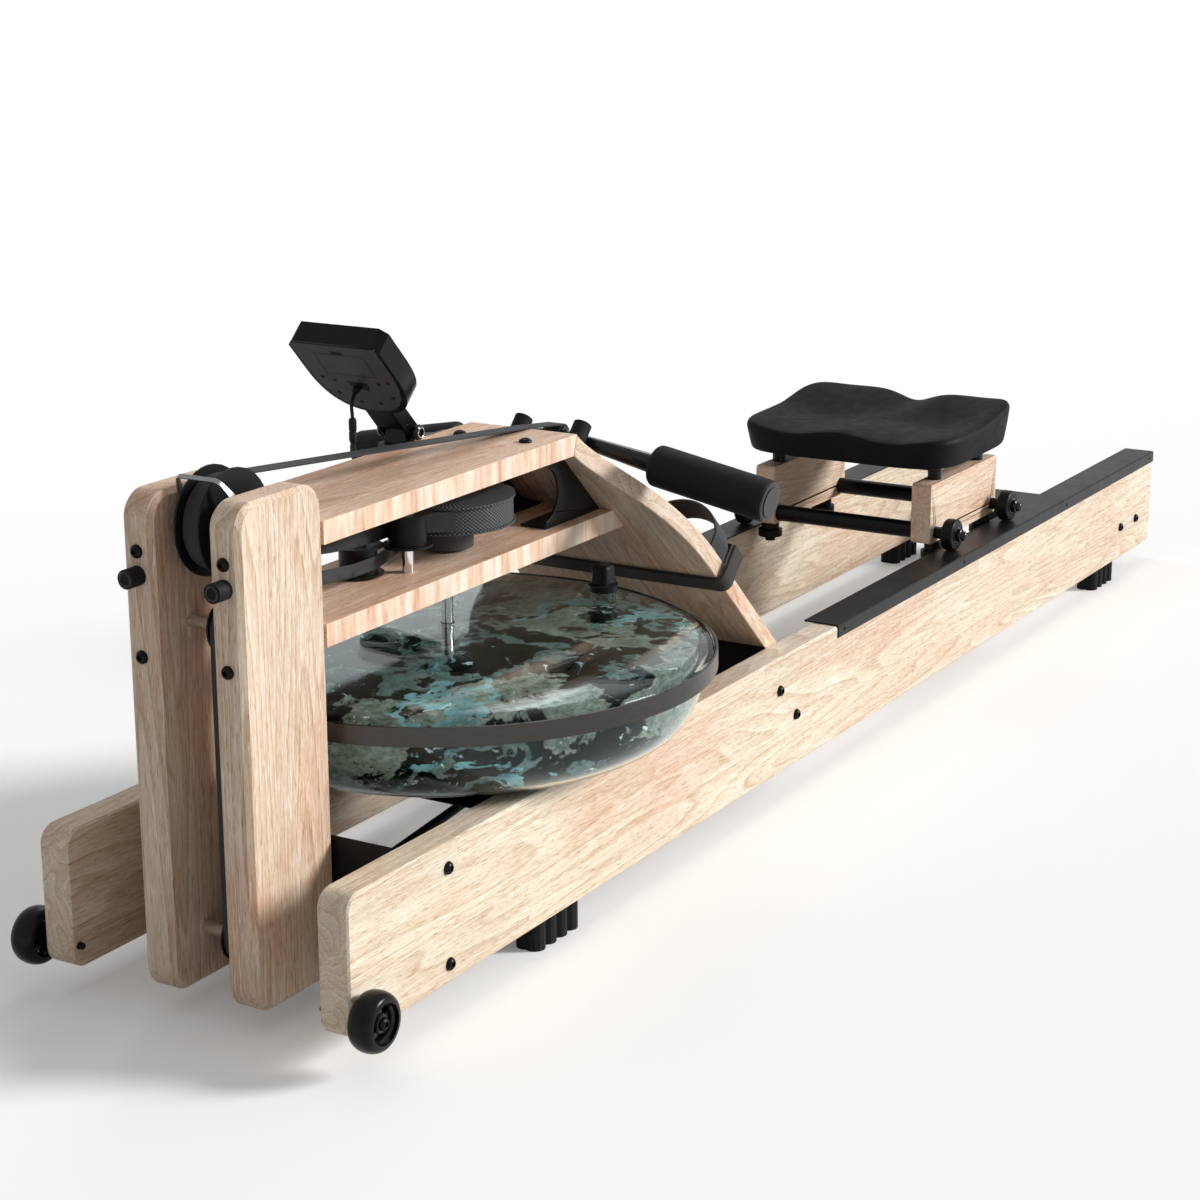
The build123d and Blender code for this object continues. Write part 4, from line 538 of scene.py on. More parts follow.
for width, segments, angle, names in (
    (0.0042, 4, 30, ("left_beam", "right_beam", "monitor_case")),
    (0.0030, 3, 30, ("carriage_blocks", "footboard", "upper_deck", "lower_deck")),
    (0.0025, 3, 25, ("left_upright", "right_upright")),
    (0.0008, 2, 30, ("footrest_bar", "gusset_brackets", "seat_rails", "seat_plate", "monitor_arm", "tank_cradle")),
    (0.0030, 4, 30, ("front_rollers", "rear_rollers")),
    (0.0022, 3, 30, ("handle_pegs", "bumper_pegs")),
):
    for name in names:
        soften(nodes[name], width, segments, angle)

# -------------------- bolts with sockets
HEAD_RADIUS, HEAD_HEIGHT, SHANK_RADIUS = 0.0064, 0.0046, 0.0032
WHEEL_BOLT_REACH = 0.012  # a bolt that stands out further than this holds a wheel
WHEEL_BOLT_HEAD = 0.004
beam_side = abs(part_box("left_beam")[0].y)
upright_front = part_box("left_upright")[0].x
for count, (low, high) in enumerate(islands("frame_bolts")):
    mid = (low + high) / 2
    if high.x - low.x > high.y - low.y:
        place, out, back = Vector((upright_front, mid.y, mid.z)), (-1, 0, 0), (1, 0, 0)
        shank = high.x - upright_front
    else:
        side = -1 if mid.y < 0 else 1
        inner, outer = sorted((abs(low.y), abs(high.y)))
        start = outer - WHEEL_BOLT_HEAD if outer > beam_side + WHEEL_BOLT_REACH else beam_side
        place, out, back = Vector((mid.x, side * start, mid.z)), (0, side, 0), (0, -side, 0)
        shank = start - inner
    head = socket_bolt(f"bolt_head_{count}", place, out, HEAD_RADIUS, HEAD_HEIGHT)
    sides = [(SHANK_RADIUS, 0.0), (SHANK_RADIUS, shank)]
    lathe(f"bolt_shank_{count}", sides, place, back, bolt_black, "frame", 16)
    if count == 0:
        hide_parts("frame_bolts")

# small screws along the rails' flanges and on the ridge, each let into its face
FLANGE_SCREWS = (0.016, 0.338, 0.669, 0.985)  # as shares of the rail's length
FLANGE_HEIGHT, LET_IN = 0.0078, 0.0004
RIDGE_SCREW_X, RIDGE_SCREW_Y = -0.5286, 0.040
rail_low, rail_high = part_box("seat_rails")
deck_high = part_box("upper_deck")[1]
for side in (-1, 1):
    for share in FLANGE_SCREWS:
        along = rail_low.x + share * (rail_high.x - rail_low.x)
        spot = Vector((along, side * (rail_high.y - LET_IN), rail_low.z + FLANGE_HEIGHT))
        socket_bolt(f"rail_screw_{side}_{share}", spot, (0, side, 0), 0.0034, 0.0012)
    spot = Vector((RIDGE_SCREW_X, side * RIDGE_SCREW_Y, deck_high.z))
    socket_bolt(f"ridge_screw_{side}", spot, UP, 0.0070, 0.0042)

# -------------------- transport wheels
SPOKES, FIRST_SPOKE = 5, 0.3
TYRE_ROUND, TYRE_BORE = 0.0092, 0.0192
for side, word in ((-1, "left"), (1, "right")):
    node, body = f"{word}_transport_wheel", f"{word}_wheel"
    low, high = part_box(node)
    hub = (low + high) / 2
    reach, half = (high.x - low.x) / 2, (high.y - low.y) / 2
    tyre = []
    for step in range(17):
        turn = math.pi * step / 16
        tyre.append((reach - TYRE_ROUND + TYRE_ROUND * math.sin(turn) ** 0.75, -half * math.cos(turn)))
    tyre += [(TYRE_BORE, half * 0.80), (TYRE_BORE, -half * 0.80)]
    for part, steps, material, profile in (
        ("tyre", 72, tyre_rubber, tyre),
        ("rim", 64, wheel_gloss, [
            (0.0193, -0.0090), (0.0193, 0.0090), (0.0178, 0.0094), (0.0158, 0.0070), (0.0158, -0.0070),
            (0.0178, -0.0094),
        ]),
        ("boss", 48, wheel_gloss, [
            (0.0045, -half + 0.001), (0.0095, -half + 0.001), (0.0095, 0.0070), (0.0088, 0.0082), (0.0045, 0.0082),
        ]),
        ("bearing", 40, arm_gloss, [
            (0.0044, 0.0060), (0.0078, 0.0060), (0.0078, 0.0089), (0.0070, 0.0092), (0.0052, 0.0092),
            (0.0044, 0.0089),
        ]),
    ):
        turned = lathe(f"{body}_{part}", profile, hub, (0, side, 0), material, body, steps, closed=True)
        if part == "tyre":
            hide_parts(node)
    verts, faces = [], []
    for spoke in range(SPOKES):
        angle = on_circle(spoke, SPOKES) + FIRST_SPOKE
        for radius, half_width, depth in ((0.0086, 0.0030, 0.0066), (0.0166, 0.0022, 0.0050)):
            for y in (-depth, depth):
                for w in (-half_width, half_width):
                    x = radius * math.cos(angle) - w * math.sin(angle)
                    z = radius * math.sin(angle) + w * math.cos(angle)
                    verts.append(hub + Vector((x, y, z)))
        for face in ((0, 1, 3, 2), (4, 6, 7, 5), (0, 4, 5, 1), (2, 3, 7, 6), (0, 2, 6, 4), (1, 5, 7, 3)):
            faces.append(tuple(spoke * 8 + i for i in face))
    piece(f"{body}_spokes", verts, faces, wheel_gloss, body, smooth=False)

# -------------------- clear tank and its water
tank_low, tank_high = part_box("tank_lower_shell")
lid_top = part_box("tank_upper_shell")[1].z
band_low, band_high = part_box("tank_band")
centre = Vector(((tank_low.x + tank_high.x) / 2, (tank_low.y + tank_high.y) / 2, 0))
seam = (tank_high.x - tank_low.x) / 2
floor_z = tank_low.z
dome_z = band_high.z + 0.023
SHELL_RADIUS, WALL = 0.262, 0.0035
FLOOR_RADIUS, FLOOR_BEND = 0.176, 0.232
SHAFT_HOLE = 0.0072
ROUND = 144  # steps round the tank


def bowl(shrink):
    """The bowl's profile from its floor out to its side, set in by shrink."""
    z = floor_z + shrink
    r = SHELL_RADIUS - shrink
    side, rim = (r, floor_z + 0.026 + shrink * 0.5), (r, band_low.z)
    return curve_points((FLOOR_RADIUS, z), (FLOOR_BEND, z), side, rim, 14) + [rim]


def dome(shrink):
    """The dome's profile from its rim in to the shaft, set in by shrink."""
    z = dome_z - shrink
    r = seam - shrink * 1.6
    rim, shoulder = (r, band_high.z - 0.001), (r - 0.004, band_high.z + 0.0175 - shrink)
    return curve_points(rim, shoulder, (0.160, z), (0.012, z), 18) + [(SHAFT_HOLE, z)]


lower = lathe(
    "bowl",
    [(0.0, floor_z)] + bowl(0) + [(seam, band_low.z + 0.0002), (seam, band_low.z + 0.0038)]
    + [(SHELL_RADIUS - WALL, band_low.z + 0.0038)] + bowl(WALL)[::-1] + [(0.0, floor_z + WALL)],
    centre, UP, clear_shell, "frame", ROUND,
)
upper = lathe(
    "dome",
    [(seam - 0.0045, band_low.z + 0.0042), (seam, band_low.z + 0.0042)] + dome(0) + dome(WALL)[::-1],
    centre, UP, clear_shell, "frame", ROUND, closed=True,
)
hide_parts("tank_lower_shell")
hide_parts("tank_upper_shell")
cap_mid = centre_of("tank_cap")
cap_foot = Vector((cap_mid.x, cap_mid.y, 0))
lathe(
    "tank_neck",
    [(0.0132, band_high.z + 0.0085), (0.0132, lid_top - 0.0006), (0.0126, lid_top), (0.0100, lid_top),
     (0.0095, lid_top - 0.0006), (0.0095, band_high.z + 0.0085)],
    cap_foot, UP, clear_neck, "frame", closed=True,
)

GAP = 0.0004  # between the water and the shell
SWELL = 0.0012
level = band_low.z + 0.0035  # where the water is widest
outline = [(0.04, floor_z + WALL + GAP)] + [p for p in bowl(WALL + GAP) if p[1] < level]
outline += [(SHELL_RADIUS - WALL - GAP, level)]
outline += [p for p in dome(WALL + 0.0016) if p[0] < SHELL_RADIUS - WALL - 0.0006]
rings = []
for radius, height in outline:
    calm = smooth_step(0.255, 0.235, radius) * smooth_step(0.0, 0.05, radius) if height > level + 0.001 else 0.0
    ring = []
    for column in range(ROUND):
        angle = on_circle(column, ROUND)
        swell = math.sin(3 * angle + radius * 46) * 0.5 + math.sin(7 * angle - radius * 90 + 1.3) * 0.28
        swell += math.sin(13 * angle + radius * 170) * 0.14
        lifted = height - SWELL * calm * (1 + swell)
        ring.append(centre + Vector((radius * math.cos(angle), radius * math.sin(angle), lifted)))
    rings.append(ring)
water_body = loft("water_body", rings, tank_liquid, "frame", sharp=50)
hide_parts("tank_water")

# -------------------- seat pad
PAD_STEPS = 120
PAD_SQUARENESS = 5.3  # the power of the superellipse round its side
pad_low, pad_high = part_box("seat_pad")
pad_mid = (pad_low + pad_high) / 2
pad_half = (pad_high - pad_low) / 2


def pad_outline(share, angle, power):
    """A point on a rounded rectangle, a superellipse with a share of the pad's size."""
    c, s = math.cos(angle), math.sin(angle)
    reach = (abs(c / (pad_half.x * share)) ** power + abs(s / (pad_half.y * share)) ** power) ** (-1 / power)
    return reach * c, reach * s


def pad_top(x, y):
    """Height of the seat's top: thigh hollows in front, two hollows to sit in, humps and a notch behind."""
    u, v = x / pad_half.x, y / pad_half.y
    height = 0.0405
    behind = smooth_step(0.0, 0.92, u)
    notch = math.exp(-((v / 0.20) ** 2))
    height += 0.0145 * behind * (1 - 0.92 * notch)
    for side in (-1, 1):
        height -= 0.0085 * math.exp(-(((u - 0.05) / 0.50) ** 2) - ((v - side * 0.43) / 0.34) ** 2)
        height -= 0.0060 * math.exp(-(((u + 1.0) / 0.42) ** 2) - ((v - side * 0.47) / 0.26) ** 2)
    height += 0.0050 * smooth_step(0.62, 1.0, abs(v)) * (0.4 + 0.6 * smooth_step(-0.6, 0.4, u))
    height += 0.0025 * math.exp(-((v / 0.16) ** 2)) * smooth_step(0.2, -0.9, u)
    return height


def pad_ring(share, power, drop, level):
    """A ring round the pad, drop below its top, at a level from 0, its base, to 1."""
    ring = []
    for step in range(PAD_STEPS):
        x, y = pad_outline(share, on_circle(step, PAD_STEPS), power)
        ring.append((pad_mid.x + x, pad_mid.y + y, pad_low.z + (pad_top(x, y) - drop) * level))
    return ring


rings = [
    pad_ring(share, 2.4 + (PAD_SQUARENESS - 2.4) * share, 0.0030 * max(0.0, (share - 0.88) / 0.12) ** 2.2, 1.0)
    for share in (0.04, 0.14, 0.26, 0.38, 0.5, 0.6, 0.69, 0.77, 0.84, 0.90, 0.94, 0.965, 0.982)
]
rings += [pad_ring(share, PAD_SQUARENESS, drop, level) for share, drop, level in (
    (0.994, 0.0052, 1.0), (1.0, 0.0088, 1.0), (0.998, 0.0125, 1.0), (0.984, 0.0, 0.46), (0.970, 0.0, 0.20),
    (0.962, 0.0, 0.08), (0.950, 0.0, 0.015), (0.92, 0.0, 0.0),
)]
seat = loft("seat_cushion", rings, seat_cover, "seat_carriage")
smoother = seat.modifiers.new("smoother", "SUBSURF")
smoother.levels = smoother.render_levels = 1
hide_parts("seat_pad")


# -------------------- straps
def carry_over(name, source, body, cuts, keep=None):
    """A strap as its own piece: the node's shape, cut across so that it can bend, or cut off where it isn't kept."""
    mesh = nodes[source].data.copy()
    mesh.name = name
    shape = bmesh.new()
    shape.from_mesh(mesh)
    bmesh.ops.remove_doubles(shape, verts=shape.verts, dist=WELD)

    def cut(spot, way, off=False):
        everything = shape.verts[:] + shape.edges[:] + shape.faces[:]
        bmesh.ops.bisect_plane(shape, geom=everything, plane_co=spot, plane_no=way, clear_outer=off)

    if keep:
        cut(*keep, off=True)
        bmesh.ops.holes_fill(shape, edges=[e for e in shape.edges if e.is_boundary], sides=0)
    for spot, way in cuts:
        cut(spot, way)
    shape.to_mesh(mesh)
    shape.free()
    return new_piece(name, mesh, strap_weave, body)


def upright_cuts(*places):
    return [((x, 0, 0), (1, 0, 0)) for x in places]


ridge = Vector((deck_high.x - 0.0002, 0, deck_high.z))
handle_hub = Vector((-0.40355, 0, 0.4437))
strap_run = handle_hub - ridge
strap_way = strap_run.normalized()
strap_split = ridge + strap_way * 0.0002
rear_strap = carry_over(
    "handle_strap", "drive_strap", None,
    [(ridge + strap_run * share, strap_way) for share in (0.15, 0.3, 0.45, 0.6, 0.75, 0.8)],
    keep=(strap_split, -strap_way),
)
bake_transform(rear_strap)
front_strap = carry_over(
    "drive_webbing", "drive_strap", "frame", upright_cuts(-0.93, -0.85, -0.78, -0.70, -0.62, -0.54),
    keep=(strap_split, strap_way),
)
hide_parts("drive_strap")
return_strap = carry_over("recoil_webbing", "recoil_strap", "frame", upright_cuts(-0.90, -0.85, -0.80, -0.74))
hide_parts("recoil_strap")


# -------------------- bent strips
def strip(name, route, across, widths, thickness, material, body, turns=6):
    """A bent flat bar: a rounded rectangle led along a route of (point, bend radius)."""
    path, spans = [], []
    for index, (point, bend) in enumerate(route):
        if bend == 0:
            path.append(point)
            spans.append(widths[index])
            continue
        back = (route[index - 1][0] - point).normalized()
        ahead = (route[index + 1][0] - point).normalized()
        for step in range(turns + 1):
            share = step / turns
            path.append(point + back * bend * (1 - share) ** 2 + ahead * bend * share ** 2)
            spans.append(widths[index])
    across = across.normalized()
    rise, edge_round = thickness / 2, thickness * 0.22
    rings = []
    for index, point in enumerate(path):
        along = (path[min(index + 1, len(path) - 1)] - path[max(index - 1, 0)]).normalized()
        up = along.cross(across).normalized()
        half = spans[index] / 2
        ring = []
        for a, b in ((1, 1), (-1, 1), (-1, -1), (1, -1)):
            corner = ((half * a, (rise - edge_round) * b), ((half - edge_round) * a, rise * b))
            for w, h in corner if a * b > 0 else reversed(corner):
                ring.append(point + across * w + up * h)
        rings.append(ring)
    return loft(name, rings, material, body, sharp=40)


# the keeper over the front pulley: a narrow bent bar, its legs flared out to the uprights
KEEPER_FOOT = 0.0300
axle_spot = centre_of("front_pulley")
keeper_turn = math.radians(124.6)
out_way = Vector((math.cos(keeper_turn), 0, math.sin(keeper_turn)))
tangent = Vector((-math.sin(keeper_turn), 0, math.cos(keeper_turn)))
leg = ((KEEPER_FOOT, -0.006, 0, 0.012), (KEEPER_FOOT, 0.034, 0.006, 0.007), (0.0226, 0.0555, 0.0055, 0.0048))
stations = [(y, out, bend, width) for y, out, bend, width in leg]
stations += [(-y, out, bend, width) for y, out, bend, width in reversed(leg)]
keeper = strip(
    "keeper_bar", [(axle_spot + Vector((0, y, 0)) + out_way * out, bend) for y, out, bend, width in stations],
    tangent, [width for y, out, bend, width in stations], 0.0025, steel_dull, "frame",
)
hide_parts("strap_keeper")
for side in (-1, 1):
    lathe(
        f"keeper_eye_{side}",
        [(0.0052, -0.0012), (0.0098, -0.0012), (0.0102, -0.0008), (0.0102, 0.0008), (0.0098, 0.0012),
         (0.0052, 0.0012)],
        axle_spot + Vector((0, side * KEEPER_FOOT, 0)), (0, side, 0),
        steel_dull, "frame", 40, closed=True,
    )

# the foot rest's bar: a flat bar across the board's back with its ends bent up
BOARD_THICKNESS = 0.021
BAR_DOWN, ARM_OUT = 0.258, 0.022  # the bar's place down the board, and its arms' reach out of it
lean = math.radians(BOARD_LEAN)
down = Vector((math.cos(lean), 0, -math.sin(lean)))
face_out = Vector((math.sin(lean), 0, math.cos(lean)))
board_top = Vector((-0.46855, 0, deck_high.z))
bar_line = board_top + down * BAR_DOWN
bar_mid = bar_line - face_out * (BOARD_THICKNESS + 0.0003 + 0.002)
arm_top = bar_line + face_out * ARM_OUT
reach = Vector((0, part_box("footrest_bar")[1].y - 0.002, 0))
rest_bar = strip(
    "rest_strip", [(arm_top + reach, 0), (bar_mid + reach, 0.011), (bar_mid - reach, 0.011), (arm_top - reach, 0)],
    down, [0.025] * 4, 0.0038, flat_grey, "foot_rest", turns=8,
)
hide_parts("footrest_bar")

# the foot straps: the CAD's thin bands, with soft edges
bands_mesh = nodes["foot_straps"].data.copy()
bands_mesh.name = "foot_webbing"
bands = new_piece("foot_webbing", bands_mesh, strap_weave, "foot_rest")
soften(bands, 0.0009, angle=50)
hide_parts("foot_straps")

# -------------------- tank cap
cap_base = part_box("tank_cap")[0].z
skirt = lathe(
    "cap_skirt",
    [(radius, cap_base + height) for radius, height in (
        (0.0100, 0.0006), (0.0100, 0.0002), (0.0143, 0.0002), (0.0148, 0.0008), (0.0148, 0.0060),
        (0.0156, 0.0064), (0.0160, 0.0070), (0.0160, 0.0078), (0.0152, 0.0084), (0.0100, 0.0086),
    )],
    cap_foot, UP, black_plastic, "cap", 64, closed=True,
)
corner_round = 0.0022
rings = []
for inset, height in ((0.0, 0.0080), (0.0, 0.0255), (0.0006, 0.0272), (0.0020, 0.0286), (0.0040, 0.0291)):
    flat = 0.0092 - inset - corner_round
    ring = []
    for corner in range(4):
        for step in range(4):
            angle = math.pi / 2 * corner + math.pi / 6 * step
            x = flat * (1 if corner in (0, 3) else -1) + corner_round * math.cos(angle)
            y = flat * (1 if corner in (0, 1) else -1) + corner_round * math.sin(angle)
            ring.append(cap_foot + Vector((x, y, cap_base + height)))
    rings.append(ring)
loft("cap_grip", rings, black_plastic, "cap", sharp=35)
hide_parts("tank_cap")

# -------------------- handle: foam grips with end caps
GRIP_START, GRIP_END = 0.1215, 0.258
droop = math.radians(10.3)
length = (GRIP_END - GRIP_START) / math.cos(droop)
for side in (-1, 1):
    way = Vector((0, side * math.cos(droop), -math.sin(droop)))
    start = handle_hub + way * (GRIP_START / math.cos(droop))
    foam = lathe(
        f"grip_foam_{side}",
        [(0.0108, 0.0004), (0.0170, 0.0002), (0.0202, 0.0012), (0.0220, 0.0036), (0.0224, 0.0060),
         (0.0224, length - 0.0068), (0.0223, length - 0.0044), (0.0216, length - 0.0026), (0.0206, length - 0.0018),
         (0.0108, length - 0.0018)],
        start, way, grip_foam, "handle", 64, closed=True,
    )
    lathe(
        f"grip_cap_{side}",
        [(0.0112, length - 0.0022), (0.0208, length - 0.0022), (0.0211, length - 0.0014), (0.0208, length - 0.0006),
         (0.0200, length - 0.0003), (0.0060, length - 0.0001), (0.0, length)],
        start, way, grip_end, "handle", 64,
    )
    if side < 0:
        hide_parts("handle_grips")

# -------------------- seat rollers: bearings, washers and acorn nuts
WASHER_Y = 0.1284
for node, body in (("front_rollers", "front_seat_rollers"), ("rear_rollers", "rear_seat_rollers")):
    axle = centre_of(node)
    for side in (-1, 1):
        face = Vector((axle.x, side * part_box(node)[1].y, axle.z))
        out = (0, side, 0)
        lathe(
            f"{body}_ring_{side}",
            [(0.0072, -0.0004), (0.0112, -0.0004), (0.0112, 0.0003), (0.0104, 0.0007), (0.0080, 0.0007),
             (0.0072, 0.0003)],
            face, out, arm_gloss, body, 40, closed=True,
        )
        lathe(
            f"{body}_nut_{side}",
            [(0.0086, 0.0011), (0.0086, 0.0060), (0.0080, 0.0066), (0.0066, 0.0070), (0.0062, 0.0098),
             (0.0046, 0.0121), (0.0022, 0.0132), (0.0, 0.0134)],
            face, out, arm_gloss, "seat_carriage", 24,
        )
        lathe(
            f"{body}_washer_{side}", [(0.0053, -0.0001), (0.0100, -0.0001), (0.0100, 0.0009), (0.0053, 0.0009)],
            Vector((axle.x, side * WASHER_Y, axle.z)), out,
            steel_bright, "seat_carriage", 32, closed=True,
        )

# -------------------- glossy rims on the bumper pegs, with a dark disc of painted shade in each end's hollow
for index, (low, high) in enumerate(islands("bumper_pegs")):
    size = (high.y - low.y) / 2
    tip = Vector((low.x, (low.y + high.y) / 2, (low.z + high.z) / 2))
    rim = [(0.52, -0.0006), (0.52, 0.0006), (0.60, 0.0013), (0.74, 0.0013), (0.84, 0.0004), (0.84, -0.0006)]
    # painted shade: a flat dark disc inside each rim stands for the shade in the peg's hollow end
    painted_shade_disc = [(0.0, -0.0003), (0.53, -0.0003), (0.53, 0.0002), (0.0, 0.0002)]
    for part, profile, material in (("rim", rim, wheel_gloss), ("painted_shade_disc", painted_shade_disc, seam_dark_and_painted_shade)):
        lathe(
            f"peg_{part}_{index}", [(size * share, height) for share, height in profile],
            tip, (-1, 0, 0), material, "frame", 32, closed=part == "rim",
        )

# -------------------- monitor back: seams, latch, screws and recess; the latch slot, screw holes and recess are dark panels of painted shade, and the back's lighter grey is painted light
FRONT_X = -1.04055  # the beams' front edge
MONITOR_Y, CASE_DEPTH = 0.079, 0.024
tilt = math.radians(46.0)
screen_out = Vector((math.sin(tilt), 0, math.cos(tilt)))
screen_up = Vector((-math.cos(tilt), 0, math.sin(tilt)))
screen_right = Vector((0, 1, 0))
top_mid = Vector((FRONT_X + 0.362, MONITOR_Y, 0.593))
pivot = Vector((FRONT_X + 0.461, MONITOR_Y, 0.4697))


def on_back(right_mm, down_mm, lift_mm=0.0):
    """A point on the monitor's back: to the right, down from its top edge, and out from the back, in millimetres."""
    return (
        top_mid + screen_right * right_mm / 1000 - screen_up * down_mm / 1000
        - screen_out * (CASE_DEPTH + lift_mm / 1000)
    )


def back_panel(name, corners, lift=0.42, depth=0.4, material=seam_dark_and_painted_shade):
    """A thin raised or dark panel on the monitor's back; by default dark, for the door's seams and for painted shade
    in a slot or recess.
    """
    rings = [[on_back(x, y, height) for x, y in corners] for height in (lift - depth, lift)]
    loft(name, rings, material, "monitor", smooth=False)


right_edge = [(51, 3), (51, 48), (49, 66), (43, 84), (33, 98), (18, 107)]
left_edge = [(-x, y) for x, y in reversed(right_edge)]
# painted light: the back's face is drawn in that lighter grey for the light it catches
back_panel("back_face", left_edge[-1:] + right_edge + [(0, 110)] + left_edge[:-1], 0.35, 1.0, case_back_painted_lit)
# the door's outline is dark seams; the latch is a dark panel of painted shade for its slot
for name, (x0, y0, x1, y1) in (
    ("door_top", (-30, 17.0, 30, 17.7)), ("door_base", (-30, 50.0, 30, 50.7)),
    ("door_left", (-30, 17.0, -29.3, 50.7)), ("door_right", (29.3, 17.0, 30, 50.7)),
    ("latch", (-7, 12.0, 7, 17.2)),
):
    back_panel(name, [(x0, y0), (x1, y0), (x1, y1), (x0, y1)])
# painted shade: a dark panel for the shade in the cable's recess
back_panel("cable_recess", [(-13, 62), (13, 62), (9, 70), (-9, 76)])
# painted shade: dark discs for the shade in the screw holes
for index, (x, y) in enumerate(((-40, 58), (40, 58), (-27, 62), (27, 62), (-33, 84), (33, 84), (-12, 96), (12, 96))):
    lathe(
        f"screw_hole_{index}", [(0.0, 0.00005), (0.0024, 0.00005), (0.0024, 0.00035), (0.0, 0.00035)],
        on_back(x, y, 0.2), -screen_out, seam_dark_and_painted_shade, "monitor", 20,
    )

# the dark block between the bracket's two ears, clear of the arm at every tilt
ear_reach = Vector((0.0063, 0, 0.0063))
block_back, block_front = on_back(0, 93, -0.5), on_back(0, 109, -16)
block_outline = [
    block_back, block_front,
    block_front.lerp(pivot + ear_reach, 0.60), block_back.lerp(pivot - ear_reach, 0.75),
]
EAR_GAP, PIVOT_REACH = 0.0278, 0.0222
half_block = Vector((0, EAR_GAP / 2, 0))
rings = [[point - half_block for point in block_outline], [point + half_block for point in block_outline]]
loft("ear_block", rings, arm_gloss, "monitor", smooth=False)
for side in (-1, 1):
    spot = pivot + Vector((0, side * PIVOT_REACH, 0))
    socket_bolt(f"pivot_head_{side}", spot, (0, side, 0), 0.0084, 0.0036, arm_gloss)
    lathe(
        f"pivot_ring_{side}",
        [(0.0046, 0.0028), (0.0056, 0.0031), (0.0056, 0.0038), (0.0050, 0.0040), (0.0046, 0.0038)],
        spot, (0, side, 0), steel_bright, "frame", 32, closed=True,
    )

# -------------------- monitor cable
cable_route = [(FRONT_X + x, y, z) for x, y, z in (
    (0.3943, 0.0846, 0.5229), (0.3760, 0.0790, 0.5140), (0.3735, 0.0750, 0.4990), (0.3725, 0.0750, 0.4720),
    (0.3720, 0.0695, 0.4520), (0.3760, 0.0675, 0.4340), (0.3920, 0.0515, 0.4330),
)]
guide_curve = bpy.data.curves.new("cable_line", "CURVE")
guide_curve.dimensions = "3D"
guide_curve.resolution_u = 10
line = guide_curve.splines.new("NURBS")
line.points.add(len(cable_route) - 1)
for point, place in zip(line.points, cable_route):
    point.co = (*place, 1)
line.order_u = 3
line.use_endpoint_u = True
guide = in_scene("cable_line", guide_curve)
bpy.context.view_layer.update()
sampled = bpy.data.meshes.new_from_object(guide)
cable_path = [v.co.copy() for v in sampled.vertices]
bpy.data.meshes.remove(sampled)
bpy.data.objects.remove(guide)


def tube_rings(path, radius, sides=14):
    """Rings of a round tube along a path, kept from twisting by a fixed slanted direction."""
    rings = []
    for index, point in enumerate(path):
        along = (path[min(index + 1, len(path) - 1)] - path[max(index - 1, 0)]).normalized()
        side = along.cross(Vector((0.31, 0.92, 0.24))).normalized()
        up = side.cross(along)
        angles = [on_circle(step, sides) for step in range(sides)]
        rings.append([point + side * radius * math.cos(angle) + up * radius * math.sin(angle) for angle in angles])
    return rings


CABLE = 0.0018  # the cable's radius
cable = loft("cable_tube", tube_rings(cable_path, CABLE), cable_skin, None)
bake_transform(cable)
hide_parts("monitor_cable")
collar = lathe(
    "cable_connector",
    [(CABLE, -0.0005), (0.0030, 0.0), (0.0037, 0.0016), (0.0040, 0.0030), (0.0040, 0.0105), (0.0036, 0.0112),
     (0.0036, 0.0122), (0.0040, 0.0129), (0.0040, 0.0222), (0.0037, 0.0236), (0.0030, 0.0248), (CABLE, 0.0253)],
    (FRONT_X + 0.3729, 0.0750, 0.4732), UP, cable_skin, "frame", 32,
)
lathe(
    "cable_gland", [(0.0019, 0.0), (0.0042, 0.0), (0.0040, 0.0022), (0.0030, 0.0060), (0.0019, 0.0064)],
    Vector(cable_route[0]) + screen_out * 0.0006, Vector(cable_route[1]) - Vector(cable_route[0]),
    cable_skin, "monitor", 28, closed=True,
)

# -------------------- floor, light, camera
EDGE = 30.0
floor_mesh = bpy.data.meshes.new("floor")
floor_mesh.from_pydata([(-EDGE, -EDGE, 0), (EDGE, -EDGE, 0), (EDGE, EDGE, 0), (-EDGE, EDGE, 0)], [], [(0, 1, 2, 3)])
floor = in_scene("floor", floor_mesh)
look = Shader("floor_look")
rays = look.add("LightPath").outputs
seen = look.math("MAXIMUM", rays["Is Glossy Ray"], rays["Is Transmission Ray"])
seen = look.math("MAXIMUM", rays["Is Camera Ray"], seen)
from_centre = look.feed(look.add("VectorMath", operation="LENGTH"), _0=look.add("TexCoord").outputs["Object"])
away = look.ramp(look.math("MULTIPLY", from_centre.outputs["Value"], 0.1), [(0.10, grey(0.13)), (0.42, grey(0.27))])
look.set(
    Base_Color=look.mix(seen, (0.56, 0.56, 0.56, 1), (0.95, 0.95, 0.952, 1)), Roughness=0.7, Specular_IOR_Level=0.1,
    Emission_Color=WHITE, Emission_Strength=look.math("MULTIPLY", seen, away),
)
floor_mesh.materials.append(look.material)

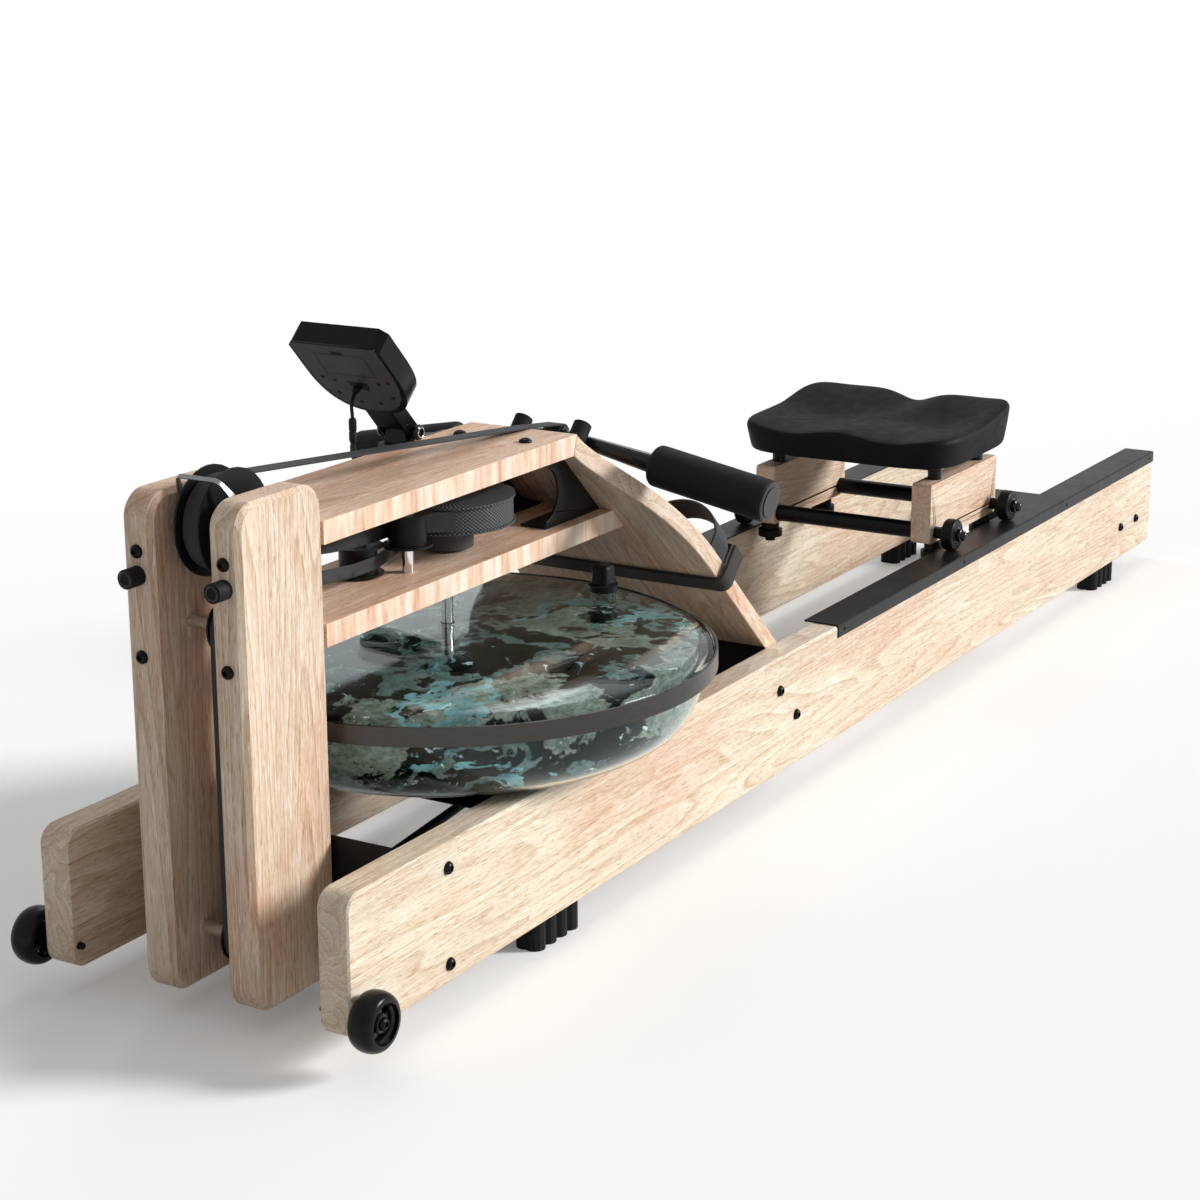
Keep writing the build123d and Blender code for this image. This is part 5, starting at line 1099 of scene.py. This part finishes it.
DAYLIGHT, BACKDROP, BACKDROP_IN_GLOSS = 0.36, 1.0, 0.48
world = bpy.data.worlds.new("studio")
scene.world = world
world.use_nodes = True
sky = Nodes(world.node_tree)
rays = sky.add("LightPath").outputs
seen = sky.math("MAXIMUM", rays["Is Camera Ray"], rays["Is Transmission Ray"])
seen = sky.math("MAXIMUM", seen, sky.math("MULTIPLY", rays["Is Glossy Ray"], BACKDROP_IN_GLOSS))
soft, white = (
    sky.feed(sky.add("Background"), Color=WHITE, Strength=strength).outputs["Background"]
    for strength in (DAYLIGHT, BACKDROP)
)
choose = sky.feed(sky.add("MixShader"), Fac=seen, _1=soft, _2=white)
sky.feed(sky.add("OutputWorld"), Surface=choose.outputs["Shader"])


def aim(way):
    """The turn that points a lamp along a direction."""
    return way.to_track_quat("-Z", "Y").to_euler()


sun_data = bpy.data.lights.new("key", "SUN")
sun_data.energy = 3.5
sun_data.angle = math.radians(16)
sun = in_scene("key", sun_data)
sun.rotation_euler = aim(Vector((-0.52, 0.76, -0.40)))
window_data = bpy.data.lights.new("window", "AREA")
window_data.shape = "RECTANGLE"
window_data.size, window_data.size_y = 0.9, 1.2
window_data.energy = 9.0
window = in_scene("window", window_data)
window.location = (1.4, 1.2, 2.6)
window.rotation_euler = aim(Vector((-0.6, 0, 0.3)) - window.location)

EYE = Vector((-2.7096, -1.4197, 1.0020))
YAW, PITCH, ROLL = 0.5347, 0.2684, -0.0045
forward = Vector((math.cos(PITCH) * math.cos(YAW), math.cos(PITCH) * math.sin(YAW), -math.sin(PITCH)))
right = forward.cross(Vector(UP)).normalized()
above = right.cross(forward)
turned_right = math.cos(ROLL) * right + math.sin(ROLL) * above
turned_up = -math.sin(ROLL) * right + math.cos(ROLL) * above
camera_data = bpy.data.cameras.new("camera")
camera_data.sensor_width = 36.0
camera_data.lens = 77.24
camera = in_scene("camera", camera_data)
camera.matrix_world = Matrix((
    (turned_right.x, turned_up.x, -forward.x, EYE.x),
    (turned_right.y, turned_up.y, -forward.y, EYE.y),
    (turned_right.z, turned_up.z, -forward.z, EYE.z),
    (0, 0, 0, 1),
))
scene.camera = camera
scene.view_settings.view_transform = "Standard"
